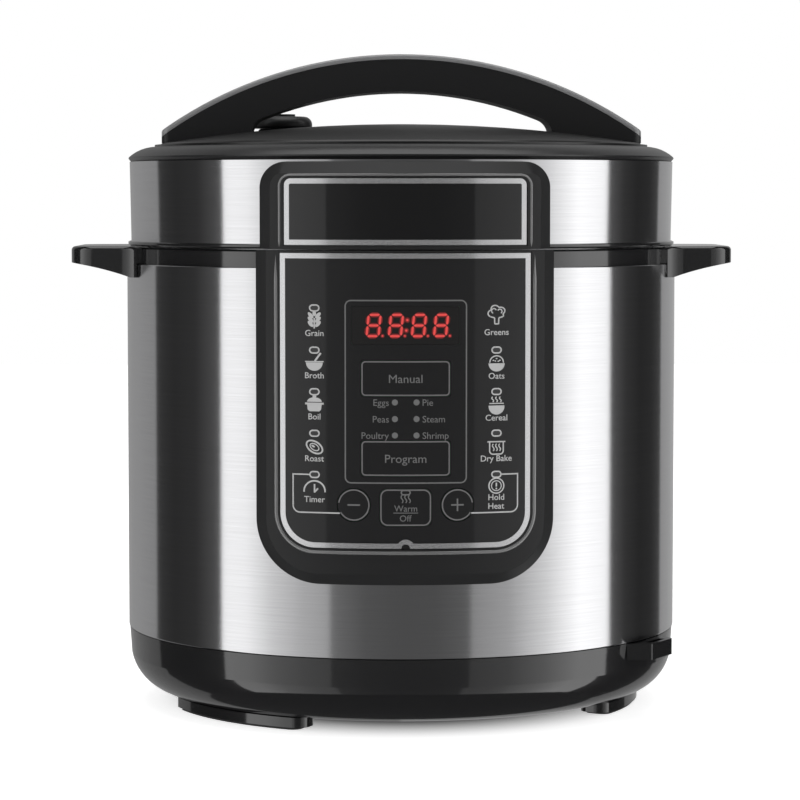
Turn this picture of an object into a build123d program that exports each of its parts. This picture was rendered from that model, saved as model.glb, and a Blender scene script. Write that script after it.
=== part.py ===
"""Electric pressure cooker, built as separate pieces in one frame.

Units are millimetres. +Z is up, the control panel faces -Y, and +X is to the right of a person
who looks at the panel. The origin is on the pot's axis, on the surface that the feet stand on.
An azimuth is measured in degrees from the front (-Y) towards the right (+X).
"""

import os
from math import cos, radians, sin

from build123d import *

# ---------------------------------------------------------------- driving dimensions
GAP = 0.15  # assembly clearance between neighbouring pieces
SLEEVE_R, SLEEVE_WALL = 138.0, 0.8  # brushed steel sleeve
SLEEVE_LOW, SLEEVE_HIGH = 38.3, 220.6
COLLAR_R, COLLAR_TOP = 136.3, 228.8  # black collar above the sleeve
LID_LOW, LID_SKIRT_LOW, LID_SKIRT_HIGH = 229.4, 231.6, 271.0
LID_SKIRT_R, LID_SKIRT_R_LOW = 136.6, 135.9
LID_RING_R = 137.4
LID_RIM_TOP = 278.5
DOME_EDGE_R, DOME_R, DOME_EDGE_Z, DOME_CROWN = 124.0, 121.5, 280.1, 290.0
FLANGE_TOP = 279.5  # upper face of the domed top's thin flange
HANDLE_TOP, HANDLE_REACH = 324.6, 119.5  # arched lid handle
HANDLE_OUTER_R, HANDLE_INNER_R, HANDLE_GRIP_TOP = 206.0, 188.0, 306.0
SIDE_GRIP_REACH, SIDE_GRIP_TOP = 164.0, 229.2
FRAME_R, PLATE_R = 145.2, 144.4  # outer radius of the panel frame and of the panel plate
FRAME_HALF, FRAME_LOW, FRAME_HIGH = 69.7, 73.5, 228.9
WINDOW_HALF, WINDOW_LOW = 58.6, 90.7
LID_FRAME_HALF, LID_FRAME_HIGH = 67.8, 270.0
LID_WINDOW_HALF, LID_WINDOW_LOW, LID_WINDOW_HIGH = 56.7, 231.1, 262.6
BASE_R, BASE_LOW, BASE_HIGH = 137.6, 6.0, 38.0
FOOT_AZIMUTHS, FOOT_SPAN, FOOT_R = (-47.0, 78.5, 197.0), 47.0, 120.0
REAR_FACE = FRAME_R  # the mains inlet's face, as far back as the panel is forward
POT_R, POT_WALL, POT_LOW, POT_HIGH = 110.0, 1.4, 67.5, 227.6  # removable inner pot
VESSEL_R, VESSEL_WALL, VESSEL_LOW, VESSEL_HIGH = 114.0, 1.5, 56.0, 226.0  # fixed outer pot
LUGS, LUG_SPAN = 6, 27.0  # bayonet lugs, released by a turn of half their spacing
LUG_TIP_R, LID_LUG_R, LID_DISH_R = 122.0, 119.0, 126.5
FLOAT_AT, VALVE_AT, POST_X = (62.0, 42.0), (-60.0, 45.0), 84.0
CUP_AZIMUTH, CUP_HALF, CUP_LOW, CUP_HIGH = 140.0, 24.0, 150.0, 208.0  # condensation cup
BRACKET_AZIMUTH, BRACKET_LOW = 59.0, 30.2  # ladle-holder bracket on the base
BOARD_Y, BOARD_HIGH = -127.0, 204.0  # back face and top edge of the control board
KEY_TRAVEL = 0.8
KEYS = {  # name: (x, z, width, height, corner radius)
    "key_heat": (0.0, 170.0, 41.0, 16.2, 1.6),
    "key_menu": (0.0, 133.0, 41.0, 16.2, 1.6),
    "key_off": (0.0, 110.2, 23.6, 17.0, 3.4),
    "key_minus": (-24.0, 111.3, 15.0, 15.0, 7.45),
    "key_plus": (24.0, 111.3, 15.0, 15.0, 7.45),
}
DISPLAY = (0.0, 194.5, 50.0, 17.6)  # x, z, width, height of the clear display window
LAMP_X, LAMP_ROWS = 42.3, (202.4, 182.9, 163.6, 144.3, 125.0)
LAMPS = [(-LAMP_X, row) for row in LAMP_ROWS] + [(LAMP_X, row) for row in LAMP_ROWS[1:]]
DOT_X, DOT_ROWS = 5.0, (159.0, 151.3, 143.7)

os.makedirs("parts", exist_ok=True)


# ---------------------------------------------------------------- shared shapes
def write(piece, name):
    """Label a finished piece and write its STEP file."""
    piece.part.label = name
    export_step(piece.part, f"parts/{name}.step")


def at(azimuth, radius):
    """The (x, y) of a point at an azimuth and a distance from the pot's axis."""
    return radius * sin(radians(azimuth)), -radius * cos(radians(azimuth))


def upright(azimuth):
    """The upright plane through the pot's axis: its x runs outwards, its y runs up."""
    out = (*at(azimuth, 1.0), 0)
    return Plane(origin=(0, 0, 0), x_dir=out, z_dir=(out[1], -out[0], 0))


def turned(*outline, mode=Mode.ADD, start=0.0, span=360.0):
    """Revolve a closed outline of (radius, height) points about the pot's axis."""
    with BuildSketch(upright(start)) as section:
        with BuildLine():
            Polyline(*outline, close=True)
        make_face()
    revolve(section.sketch, axis=Axis.Z, revolution_arc=span, mode=mode)


def band(r_in, r_out, low, high, mode=Mode.ADD, start=0.0, span=360.0):
    """Revolve a plain rectangular section into a ring, or into a part of one."""
    turned((r_in, low), (r_out, low), (r_out, high), (r_in, high), mode=mode, start=start, span=span)


def drilled(points, radius, low, high):
    """Cut upright round holes through the current part."""
    with BuildSketch(Plane.XY.offset(low)) as holes:
        with Locations(*points):
            Circle(radius)
    extrude(holes.sketch, amount=high - low, mode=Mode.SUBTRACT)


def block(x, y, z, mode=Mode.ADD):
    """A box from three (low, high) pairs."""
    with Locations(((x[0] + x[1]) / 2, (y[0] + y[1]) / 2, (z[0] + z[1]) / 2)):
        Box(x[1] - x[0], y[1] - y[0], z[1] - z[0], mode=mode)


def plate(half, low, high, corner, top_corner=0.0, mode=Mode.ADD):
    """Extrude an outline seen from the front, with rounded lower and perhaps upper corners."""
    with BuildSketch(Plane.XZ) as outline:
        with Locations((0, (low + high) / 2)):
            Rectangle(2 * half, high - low)
        if corner:
            fillet(outline.vertices().group_by(Axis.Y)[0], corner)
        if top_corner:
            fillet(outline.vertices().group_by(Axis.Y)[-1], top_corner)
    extrude(outline.sketch, amount=160.0, mode=mode)


def dome_height(radius, crown=DOME_CROWN):
    """The height of the lid's domed top at a radius, on a sphere with its centre on the axis."""
    sphere = (DOME_R**2 + (DOME_CROWN - DOME_EDGE_Z) ** 2) / (2 * (DOME_CROWN - DOME_EDGE_Z))
    return crown - sphere + (sphere**2 - radius**2) ** 0.5


def wrap(r_in, r_out, low=0.0, high=340.0):
    """Keep only what lies between two radii, so that a prism becomes a curved plate."""
    band(r_in, r_out, low, high, mode=Mode.INTERSECT)


# ---------------------------------------------------------------- base
with BuildPart() as base_shell:
    with BuildSketch(Plane.XZ):
        with BuildLine():
            outer_top = Line((133.0, BASE_HIGH), (BASE_R, BASE_HIGH))
            side = Line(outer_top @ 1, (136.7, 24.6))
            heel = ThreePointArc(side @ 1, (130.9, 12.9), (117.6, BASE_LOW))
            under = Line(heel @ 1, (106.0, BASE_LOW))
            Polyline(under @ 1, (106.0, 8.4), (117.0, 8.4), (129.0, 15.5), (133.4, 25.0), (133.0, BASE_HIGH))
        make_face()
    revolve(axis=Axis.Z)
    inlet_cut = ((-21.0 - GAP, 21.0 + GAP), (118.0, 150.0), (9.0 - GAP, 34.0 + GAP))
    block(*inlet_cut, mode=Mode.SUBTRACT)
    with BuildSketch(upright(BRACKET_AZIMUTH)):
        with Locations((135.0, 34.2)):
            Rectangle(8.0, 5.0)
    extrude(amount=5.0 + GAP, both=True, mode=Mode.SUBTRACT)
write(base_shell, "base_shell")

with BuildPart() as bottom_plate:
    band(0.0, 105.8, 6.2, 8.4)
    with BuildSketch(Plane.XY.offset(6.2)):
        for azimuth in (15, 135, 255):
            x, y = at(azimuth, 62.0)
            with Locations(Location((x, y, 0), (0, 0, azimuth))):
                with GridLocations(0, 7.0, 1, 6):
                    SlotOverall(38.0, 3.0)
    extrude(amount=2.2, mode=Mode.SUBTRACT)
    drilled([at(a + 30, 98.0) for a in FOOT_AZIMUTHS], 2.0, 6.0, 9.0)
write(bottom_plate, "bottom_plate")

for index, azimuth in enumerate(FOOT_AZIMUTHS):
    with BuildPart() as foot:
        band(FOOT_R - 15.5, FOOT_R, 1.2, BASE_LOW, start=azimuth - FOOT_SPAN / 2, span=FOOT_SPAN)
        fillet(foot.edges().filter_by(Axis.Z), 6.0)
        with BuildSketch(Plane.XY.offset(1.2)):
            for side in (-1, 1):
                with Locations(at(azimuth + side * 14, FOOT_R - 7.6)):
                    Circle(1.7)
        extrude(amount=3.0, mode=Mode.SUBTRACT)
    write(foot, f"foot_{index + 1}")

with BuildPart() as foot_pads:
    for azimuth in FOOT_AZIMUTHS:
        band(FOOT_R - 14.0, FOOT_R - 1.2, 0.0, 1.2, start=azimuth - FOOT_SPAN / 2 + 2, span=FOOT_SPAN - 4)
    fillet(foot_pads.edges().filter_by(Axis.Z), 4.5)
    with BuildSketch(Plane.XY.offset(1.2)):
        for azimuth in FOOT_AZIMUTHS:
            for side in (-1, 1):
                with Locations(at(azimuth + side * 14, FOOT_R - 7.6)):
                    Circle(1.5)
    extrude(amount=2.5)
write(foot_pads, "foot_pads")

with BuildPart() as bottom_screws:
    for azimuth in FOOT_AZIMUTHS:
        with BuildSketch(Plane.XY.offset(4.9)):
            with Locations(at(azimuth + 30, 98.0)):
                Circle(3.4)
        extrude(amount=1.3)
        with BuildSketch(Plane.XY.offset(6.2)):
            with Locations(at(azimuth + 30, 98.0)):
                Circle(1.6)
        extrude(amount=12.0)
        with BuildSketch(Plane.XY.offset(4.9)):
            with Locations(at(azimuth + 30, 98.0)):
                Rectangle(4.4, 0.8)
                Rectangle(0.8, 4.4)
        extrude(amount=0.7, mode=Mode.SUBTRACT)
write(bottom_screws, "bottom_screws")

with BuildPart() as ladle_bracket:
    with BuildSketch(Plane.XY.offset(BRACKET_LOW)):
        with BuildLine():
            Polyline(
                at(BRACKET_AZIMUTH - 8.8, 134.0), at(BRACKET_AZIMUTH - 4.4, 147.4),
                at(BRACKET_AZIMUTH + 4.4, 147.4), at(BRACKET_AZIMUTH + 8.8, 134.0), close=True,
            )
        make_face()
    extrude(amount=BASE_HIGH - BRACKET_LOW)
    outer_corners = ladle_bracket.edges().filter_by(Axis.Z).sort_by(lambda e: -e.center().X + e.center().Y)
    fillet(outer_corners[:2], 1.2)
    band(0.0, BASE_R + 0.1, 20.0, 45.0, mode=Mode.SUBTRACT)
    with BuildSketch(upright(BRACKET_AZIMUTH)):
        with Locations((136.4, 34.2)):
            Rectangle(6.6, 5.0 - 2 * GAP)
    extrude(amount=5.0, both=True)
    with BuildSketch(Plane.XY.offset(BASE_HIGH)):
        with Locations(Location((*at(BRACKET_AZIMUTH, 143.2), 0), (0, 0, BRACKET_AZIMUTH))):
            Rectangle(15.0, 3.4)
    extrude(amount=-6.0, mode=Mode.SUBTRACT)
write(ladle_bracket, "ladle_bracket")

# ---------------------------------------------------------------- mains inlet
with BuildPart() as inlet_housing:
    block((-21.0, 21.0), (122.0, REAR_FACE), (9.0, 34.0))
    fillet(inlet_housing.edges().filter_by(Axis.Y), 3.0)
    block((-14.2, 14.2), (REAR_FACE - 16.0, REAR_FACE), (11.4, 31.6), mode=Mode.SUBTRACT)
    pin_spots = ((-7.0, 19.5), (0.0, 23.5), (7.0, 19.5))
    for x, z in pin_spots:
        block((x - 1.15, x + 1.15), (115.0, 135.0), (z - 2.15, z + 2.15), mode=Mode.SUBTRACT)
write(inlet_housing, "inlet_housing")

with BuildPart() as inlet_pins:
    for x, z in pin_spots:
        block((x - 1.0, x + 1.0), (116.0, REAR_FACE - 3.0), (z - 2.0, z + 2.0))
write(inlet_pins, "inlet_pins")

# ---------------------------------------------------------------- sleeve and collar
with BuildPart() as body_sleeve:
    band(SLEEVE_R - SLEEVE_WALL, SLEEVE_R, SLEEVE_LOW, SLEEVE_HIGH)
    fillet(body_sleeve.edges().filter_by(GeomType.CIRCLE).group_by(SortBy.RADIUS)[-1], 0.5)
    plate(50.0, 95.0, 206.0, 2.0, 2.0, mode=Mode.SUBTRACT)
write(body_sleeve, "body_sleeve")

with BuildPart() as collar:
    turned(
        (129.0, 205.0), (137.0, 205.0), (137.0, 220.2), (COLLAR_R, 220.6), (COLLAR_R, COLLAR_TOP - 0.8),
        (COLLAR_R - 0.8, COLLAR_TOP), (129.0, COLLAR_TOP),
    )
    band(115.0, 130.0, 205.0, 207.5)
    drain_x, drain_y = at(CUP_AZIMUTH, 133.0)
    drilled([(drain_x, drain_y)], 2.5, 200.0, 216.0)
    with BuildSketch(Plane.XY.offset(212.5)):
        with Locations(Location((*at(CUP_AZIMUTH, 131.0), 0), (0, 0, CUP_AZIMUTH))):
            Rectangle(9.0, 9.0)
    extrude(amount=3.5, mode=Mode.SUBTRACT)
write(collar, "collar")

for side, name in ((-1, "side_grip_left"), (1, "side_grip_right")):
    with BuildPart() as side_grip:
        with BuildSketch(Plane.XY.offset(214.0)) as plan:
            with BuildLine():
                Polyline(
                    (side * 118.0, -58.0), (side * 134.0, -42.0), (side * SIDE_GRIP_REACH, -38.0),
                    (side * SIDE_GRIP_REACH, 38.0), (side * 134.0, 42.0), (side * 118.0, 58.0), close=True,
                )
            make_face()
            fillet(plan.vertices().filter_by_position(Axis.X, *sorted((side * 160.0, side * 170.0))), 13.0)
            fillet(plan.vertices().filter_by_position(Axis.X, *sorted((side * 130.0, side * 138.0))), 14.0)
        extrude(amount=SIDE_GRIP_TOP - 214.0)
        fillet(side_grip.edges().group_by(Axis.Z)[-1].filter_by_position(
            Axis.X, *sorted((side * 125.0, side * 170.0))), 2.0)
        with BuildSketch(Plane.XZ):
            with BuildLine():
                belly = ThreePointArc((side * 134.0, 214.0), (side * 150.0, 218.6), (side * 166.0, 221.4))
                Polyline(belly @ 1, (side * 166.0, 205.0), (side * 116.0, 205.0), (side * 116.0, 214.0), belly @ 0)
            make_face()
        extrude(amount=70.0, both=True, mode=Mode.SUBTRACT)
        with BuildSketch(Plane.XY.offset(200.0)) as hollow:
            with BuildLine():
                Polyline(
                    (side * 141.2, -37.0), (side * 160.5, -34.0), (side * 160.5, 34.0), (side * 141.2, 37.0),
                    close=True,
                )
            make_face()
            fillet(hollow.vertices().filter_by_position(Axis.X, *sorted((side * 158.0, side * 165.0))), 8.0)
        extrude(amount=25.6, mode=Mode.SUBTRACT)
        band(0.0, SLEEVE_R + GAP, 200.0, SLEEVE_HIGH + 0.4, mode=Mode.SUBTRACT)
        band(0.0, COLLAR_R + 0.05, 200.0, 240.0, mode=Mode.SUBTRACT)
    write(side_grip, name)

# ---------------------------------------------------------------- outer pot, support and heater
with BuildPart() as support_tray:
    turned(
        (40.0, 40.0), (128.0, 40.0), (128.0, 34.0), (132.6, 34.0), (132.6, 35.2), (129.2, 35.2),
        (129.2, 41.2), (40.0, 41.2),
    )
    with BuildSketch(Plane.XY.offset(41.2)):
        with PolarLocations(96.0, 3):
            Circle(6.0)
    extrude(amount=VESSEL_LOW - 41.2)
    with BuildSketch(Plane.XY.offset(39.0)):
        with PolarLocations(70.0, 3, start_angle=60):
            SlotOverall(26.0, 10.0)
    extrude(amount=4.0, mode=Mode.SUBTRACT)
write(support_tray, "support_tray")

with BuildPart() as outer_pot:
    turned(
        (0.0, VESSEL_LOW), (VESSEL_R - 8.0, VESSEL_LOW), (VESSEL_R, VESSEL_LOW + 8.0),
        (VESSEL_R, 223.0), (116.5, 223.0), (116.5, VESSEL_HIGH), (VESSEL_R - VESSEL_WALL, VESSEL_HIGH),
        (VESSEL_R - VESSEL_WALL, VESSEL_LOW + 8.6), (VESSEL_R - 8.6, VESSEL_LOW + VESSEL_WALL),
        (0.0, VESSEL_LOW + VESSEL_WALL),
    )
    for index in range(LUGS):
        azimuth = index * 360.0 / LUGS
        band(116.0, LUG_TIP_R, 223.0, VESSEL_HIGH, start=azimuth - LUG_SPAN / 2, span=LUG_SPAN)
    drilled([(0.0, 0.0)], 12.0, 50.0, 60.0)
    drilled([(-62.0, 10.0), (-62.0, -10.0)], 5.5, 50.0, 60.0)
write(outer_pot, "outer_pot")

with BuildPart() as heating_plate:
    turned(
        (14.0, 58.0), (80.0, 58.0), (86.0, 62.0), (86.0, 65.6), (84.6, POT_LOW - 0.5),
        (20.0, POT_LOW - 0.1), (16.0, 65.8), (14.0, 65.8),
    )
    with BuildSketch(Plane.XZ):
        with Locations((62.0, 61.4)):
            Circle(3.6)
    revolve(axis=Axis.Z, mode=Mode.SUBTRACT)
    drilled([(-62.0, 10.0), (-62.0, -10.0)], 3.7, 55.0, 61.4)
write(heating_plate, "heating_plate")

with BuildPart() as heating_element:
    element_gap = 2 * 9.3  # degrees left out between the two terminals
    with BuildSketch(upright(-90 + element_gap / 2)):
        with Locations((62.0, 61.4)):
            Circle(3.4)
    revolve(axis=Axis.Z, revolution_arc=360 - element_gap)
    for y in (-10.0, 10.0):
        with BuildSketch(Plane.XY.offset(47.0)):
            with Locations((-61.4, y)):
                Circle(3.0)
        extrude(amount=14.4)
write(heating_element, "heating_element")

with BuildPart() as sensor_bracket:
    turned(
        (0.0, 38.0), (13.0, 38.0), (13.0, 54.4), (20.0, 54.4), (20.0, VESSEL_LOW), (11.5, VESSEL_LOW),
        (11.5, 39.4), (0.0, 39.4),
    )
    drilled([(0.0, 0.0)], 2.5, 37.0, 40.0)
write(sensor_bracket, "sensor_bracket")

with BuildPart() as sensor_probe:
    turned(
        (0.0, 50.0), (9.8, 50.0), (9.8, 64.6), (12.6, 65.2), (12.6, 66.8), (12.0, POT_LOW - 0.05),
        (0.0, POT_LOW - 0.05),
    )
write(sensor_probe, "sensor_probe")

with BuildPart() as sensor_spring:
    with BuildLine():
        coil = Helix(pitch=2.35, height=9.4, radius=6.6, center=(0, 0, 40.05))
    with BuildSketch(Plane(origin=coil @ 0, z_dir=coil % 0)):
        Circle(0.55)
    sweep(path=coil)
write(sensor_spring, "sensor_spring")

# ---------------------------------------------------------------- electrics under the pot
with BuildPart() as power_board:
    block((-52.0, 52.0), (-44.0, 26.0), (17.0, 18.6))
    with BuildSketch(Plane.XY.offset(8.4)):
        with Locations((-47.0, -39.0), (47.0, -39.0), (-47.0, 21.0), (47.0, 21.0)):
            Circle(3.0)
    extrude(amount=8.6)
write(power_board, "power_board")

with BuildPart() as transformer:
    block((16.0, 42.0), (-34.0, -6.0), (18.7, 37.0))
    block((12.0, 46.0), (-28.0, -12.0), (20.0, 34.0))
write(transformer, "transformer")

with BuildPart() as power_relay:
    block((-44.0, -24.0), (-30.0, -14.0), (18.7, 34.0))
write(power_relay, "power_relay")

with BuildPart() as pressure_switch:
    block((46.0, 66.0), (-5.0, 5.0), (41.3, 51.5))
    block((50.0, 62.0), (-2.0, 2.0), (51.5, 55.2))
write(pressure_switch, "pressure_switch")

with BuildPart() as thermal_fuse:
    with BuildSketch(Plane.XZ.offset(30.0)):
        with Locations((30.0, 53.0)):
            Circle(2.6)
    extrude(amount=14.0)
    block((26.0, 34.0), (-40.0, -34.0), (54.6, VESSEL_LOW))
write(thermal_fuse, "thermal_fuse")

# ---------------------------------------------------------------- control panel on the body
with BuildPart() as frame_ledge:
    plate(WINDOW_HALF + 2.0, WINDOW_LOW - 2.0, FRAME_HIGH - 1.0, 18.0)
    wrap(SLEEVE_R + GAP, 141.6)
    plate(WINDOW_HALF - 3.0, WINDOW_LOW + 4.0, FRAME_HIGH - 5.0, 14.0, mode=Mode.SUBTRACT)

with BuildPart() as front_frame:
    plate(FRAME_HALF, FRAME_LOW, FRAME_HIGH, 30.0)
    wrap(SLEEVE_R + GAP, FRAME_R)
    front_face = front_frame.faces().sort_by(Axis.Y)[0]
    chamfer(front_face.edges().filter_by(lambda e: e.center().Z < FRAME_HIGH - 1.0), 5.5)
    plate(WINDOW_HALF, WINDOW_LOW, FRAME_HIGH - 0.8, 16.6, mode=Mode.SUBTRACT)
    add(frame_ledge.part)
write(front_frame, "front_frame")

with BuildPart() as panel_plate:
    plate(WINDOW_HALF - GAP, WINDOW_LOW + GAP, FRAME_HIGH - 0.95, 16.4)
    wrap(141.7, PLATE_R)
    for x, z, width, height, corner in KEYS.values():
        with BuildSketch(Plane.XZ):
            with Locations((x, z)):
                RectangleRounded(width + 0.6, height + 0.6, corner)
        extrude(amount=160.0, mode=Mode.SUBTRACT)
    with BuildSketch(Plane.XZ):
        with Locations(DISPLAY[:2]):
            RectangleRounded(DISPLAY[2] + 0.2, DISPLAY[3] + 0.2, 1.0)
        for place in LAMPS:
            with Locations(place):
                SlotOverall(3.7, 1.7)
        for row in DOT_ROWS:
            with Locations((-DOT_X, row), (DOT_X, row)):
                Circle(1.3)
    extrude(amount=160.0, mode=Mode.SUBTRACT)
write(panel_plate, "panel_plate")

with BuildPart() as display_window:
    with BuildSketch(Plane.XZ):
        with Locations(DISPLAY[:2]):
            RectangleRounded(DISPLAY[2], DISPLAY[3], 1.0)
    extrude(amount=160.0)
    wrap(142.0, PLATE_R)
write(display_window, "display_window")

with BuildPart() as status_lamps:
    with BuildSketch(Plane.XZ):
        for place in LAMPS:
            with Locations(place):
                SlotOverall(3.5, 1.5)
        for row in DOT_ROWS:
            with Locations((-DOT_X, row), (DOT_X, row)):
                Circle(1.2)
    extrude(amount=160.0)
    wrap(138.4, PLATE_R)
write(status_lamps, "status_lamps")

with BuildPart() as panel_trim:
    plate(WINDOW_HALF - 0.4, WINDOW_LOW + 0.4, FRAME_HIGH - 1.2, 16.0)
    plate(WINDOW_HALF - 2.8, WINDOW_LOW + 2.8, FRAME_HIGH - 3.6, 13.8, mode=Mode.SUBTRACT)
    with BuildSketch(Plane.XZ):
        with Locations((0, WINDOW_LOW + 0.5)):
            Circle(4.2)
    extrude(amount=160.0)
    block((-6.0, 6.0), (-160.0, 0.0), (WINDOW_LOW - 6.0, WINDOW_LOW + 0.4), mode=Mode.SUBTRACT)
    with BuildSketch(Plane.XZ):
        with Locations((0, WINDOW_LOW + 0.5)):
            Circle(2.0)
    extrude(amount=160.0, mode=Mode.SUBTRACT)
    wrap(PLATE_R, PLATE_R + 0.4)
write(panel_trim, "panel_trim")

for name, (x, z, width, height, corner) in KEYS.items():
    with BuildPart() as key:
        with BuildSketch(Plane.XZ):
            with Locations((x, z)):
                RectangleRounded(width, height, corner)
        extrude(amount=160.0)
        wrap(141.0, PLATE_R)
        with BuildSketch(Plane.XZ.offset(133.3)):
            with Locations((x, z)):
                Circle(1.5)
        extrude(amount=8.2)
    write(key, name)

with BuildPart() as control_board:
    block((-46.0, 46.0), (BOARD_Y - 1.6, BOARD_Y), (99.0, BOARD_HIGH))
write(control_board, "control_board")

with BuildPart() as tact_switches:
    for x, z, *_ in KEYS.values():
        block((x - 3.0, x + 3.0), (BOARD_Y - 5.1, BOARD_Y - 1.6), (z - 3.0, z + 3.0))
write(tact_switches, "tact_switches")

with BuildPart() as display_module:
    block((-24.0, 24.0), (-139.4, BOARD_Y - 1.7), (DISPLAY[1] - 8.6, DISPLAY[1] + 8.6))
write(display_module, "display_module")

with BuildPart() as board_carrier:
    block((-47.6, 47.6), (BOARD_Y, BOARD_Y + 2.0), (97.4, BOARD_HIGH + 0.6))
    for low, high in ((-47.6, -46.1), (46.1, 47.6)):
        block((low, high), (BOARD_Y - 4.0, BOARD_Y + 2.0), (97.4, BOARD_HIGH + 0.6))
    block((-30.0, 30.0), (BOARD_Y - 1.0, BOARD_Y + 3.0), (112.0, 196.0), mode=Mode.SUBTRACT)
write(board_carrier, "board_carrier")

# ---------------------------------------------------------------- condensation cup
cup_plane = Plane(origin=(*at(CUP_AZIMUTH, 0.0), CUP_LOW), x_dir=(*at(CUP_AZIMUTH + 90, 1.0), 0), z_dir=(0, 0, 1))
# On cup_plane x runs along the body's side and -y runs outwards.
with BuildPart() as condensation_cup:
    with BuildSketch(cup_plane):
        with Locations((0, -147.0)):
            Rectangle(2 * CUP_HALF, 26.0)
    extrude(amount=CUP_HIGH - CUP_LOW)
    outer_corners = condensation_cup.edges().filter_by(Axis.Z).sort_by_distance((0, 0, 180))[-2:]
    fillet(outer_corners, 9.0)
    fillet(condensation_cup.edges().group_by(Axis.Z)[0], 2.5)
    band(0.0, SLEEVE_R + 2.6, 140.0, 220.0, mode=Mode.SUBTRACT)
    with BuildSketch(cup_plane.offset(1.8)) as cavity:
        with Locations((0, -149.8)):
            Rectangle(2 * CUP_HALF - 3.6, 16.8)
        fillet(cavity.vertices(), 1.0)
    extrude(amount=CUP_HIGH - CUP_LOW, mode=Mode.SUBTRACT)
write(condensation_cup, "condensation_cup")

with BuildPart() as cup_holder:
    with BuildSketch(cup_plane.offset(CUP_HIGH - CUP_LOW + 0.4)):
        with Locations((0, -147.5)):
            Rectangle(2 * CUP_HALF + 1.0, 26.0)
    extrude(amount=3.6)
    fillet(cup_holder.edges().filter_by(Axis.Z).sort_by_distance((0, 0, 210))[-2:], 9.5)
    band(0.0, SLEEVE_R + GAP, 140.0, 240.0, mode=Mode.SUBTRACT)
    spout_x, spout_y = at(CUP_AZIMUTH, 146.0)
    drilled([(spout_x, spout_y)], 3.2, 200.0, 216.0)
write(cup_holder, "cup_holder")

# ---------------------------------------------------------------- inner pot
with BuildPart() as inner_pot:
    turned(
        (0.0, POT_LOW), (POT_R - 14.0, POT_LOW), (POT_R - 4.0, POT_LOW + 4.0), (POT_R, POT_LOW + 14.0),
        (POT_R, 225.6), (111.2, 226.1), (117.0, 226.1), (117.0, POT_HIGH), (109.8, POT_HIGH),
        (POT_R - POT_WALL, 226.0), (POT_R - POT_WALL, POT_LOW + 14.4), (POT_R - 5.0, POT_LOW + 5.2),
        (POT_R - 14.4, POT_LOW + POT_WALL + 0.2), (0.0, POT_LOW + POT_WALL + 0.2),
    )
write(inner_pot, "inner_pot")

# ---------------------------------------------------------------- sealing ring
with BuildPart() as sealing_ring:
    turned(
        (103.0, 233.0), (108.0, POT_HIGH + 0.1), (115.4, POT_HIGH + 0.1), (116.4, POT_HIGH + 1.2),
        (116.4, 236.4), (106.0, 236.4),
    )
write(sealing_ring, "sealing_ring")

# ---------------------------------------------------------------- lid
with BuildPart() as inner_lid:
    turned(
        (0.0, 254.0), (70.0, 252.0), (92.0, 246.0), (101.0, 238.6), (LID_DISH_R, 238.6), (LID_DISH_R, 216.6),
        (LID_DISH_R - 1.6, 216.6), (LID_DISH_R - 1.6, 237.0), (117.4, 237.0), (117.4, 236.6),
        (100.2, 236.6), (91.2, 244.0), (69.6, 250.0), (0.0, 252.0),
    )
    for index in range(LUGS):
        azimuth = index * 360.0 / LUGS
        band(LID_LUG_R, LID_DISH_R - 1.0, 216.6, 219.6, start=azimuth - LUG_SPAN / 2, span=LUG_SPAN)
    drilled([FLOAT_AT], 3.4, 240.0, 260.0)
    drilled([VALVE_AT], 4.1, 240.0, 260.0)
write(inner_lid, "inner_lid")

with BuildPart() as lid_lower_ring:
    turned(
        (127.2, LID_LOW), (LID_RING_R - 0.8, LID_LOW), (LID_RING_R, LID_LOW + 0.8),
        (LID_RING_R, LID_SKIRT_LOW - 0.4), (LID_RING_R - 0.8, LID_SKIRT_LOW), (134.6, LID_SKIRT_LOW),
        (134.6, 238.0), (133.2, 238.0), (133.2, 231.2), (128.6, 231.2), (128.6, 246.0), (127.2, 246.0),
    )
write(lid_lower_ring, "lid_lower_ring")

with BuildPart() as lid_skirt:
    turned(
        (LID_SKIRT_R_LOW - 1.0, LID_SKIRT_LOW), (LID_SKIRT_R_LOW, LID_SKIRT_LOW),
        (LID_SKIRT_R, LID_SKIRT_HIGH), (LID_SKIRT_R - 1.0, LID_SKIRT_HIGH),
    )
write(lid_skirt, "lid_skirt")

with BuildPart() as lid_rim:
    with BuildSketch(Plane.XZ):
        with BuildLine():
            under = Line((131.0, LID_SKIRT_HIGH), (135.9, LID_SKIRT_HIGH))
            lip = Line(under @ 1, (137.2, 272.7))
            nose = Line(lip @ 1, (136.9, 273.4))
            crest = ThreePointArc(nose @ 1, (131.2, 277.0), (DOME_EDGE_R + 0.2, LID_RIM_TOP))
            Polyline(
                crest @ 1, (DOME_EDGE_R - 3.0, LID_RIM_TOP), (DOME_EDGE_R - 3.0, 276.4), (131.0, 275.0),
                under @ 0,
            )
        make_face()
    revolve(axis=Axis.Z)
    band(133.6, 135.4, 264.0, LID_SKIRT_HIGH)
write(lid_rim, "lid_rim")

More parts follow.
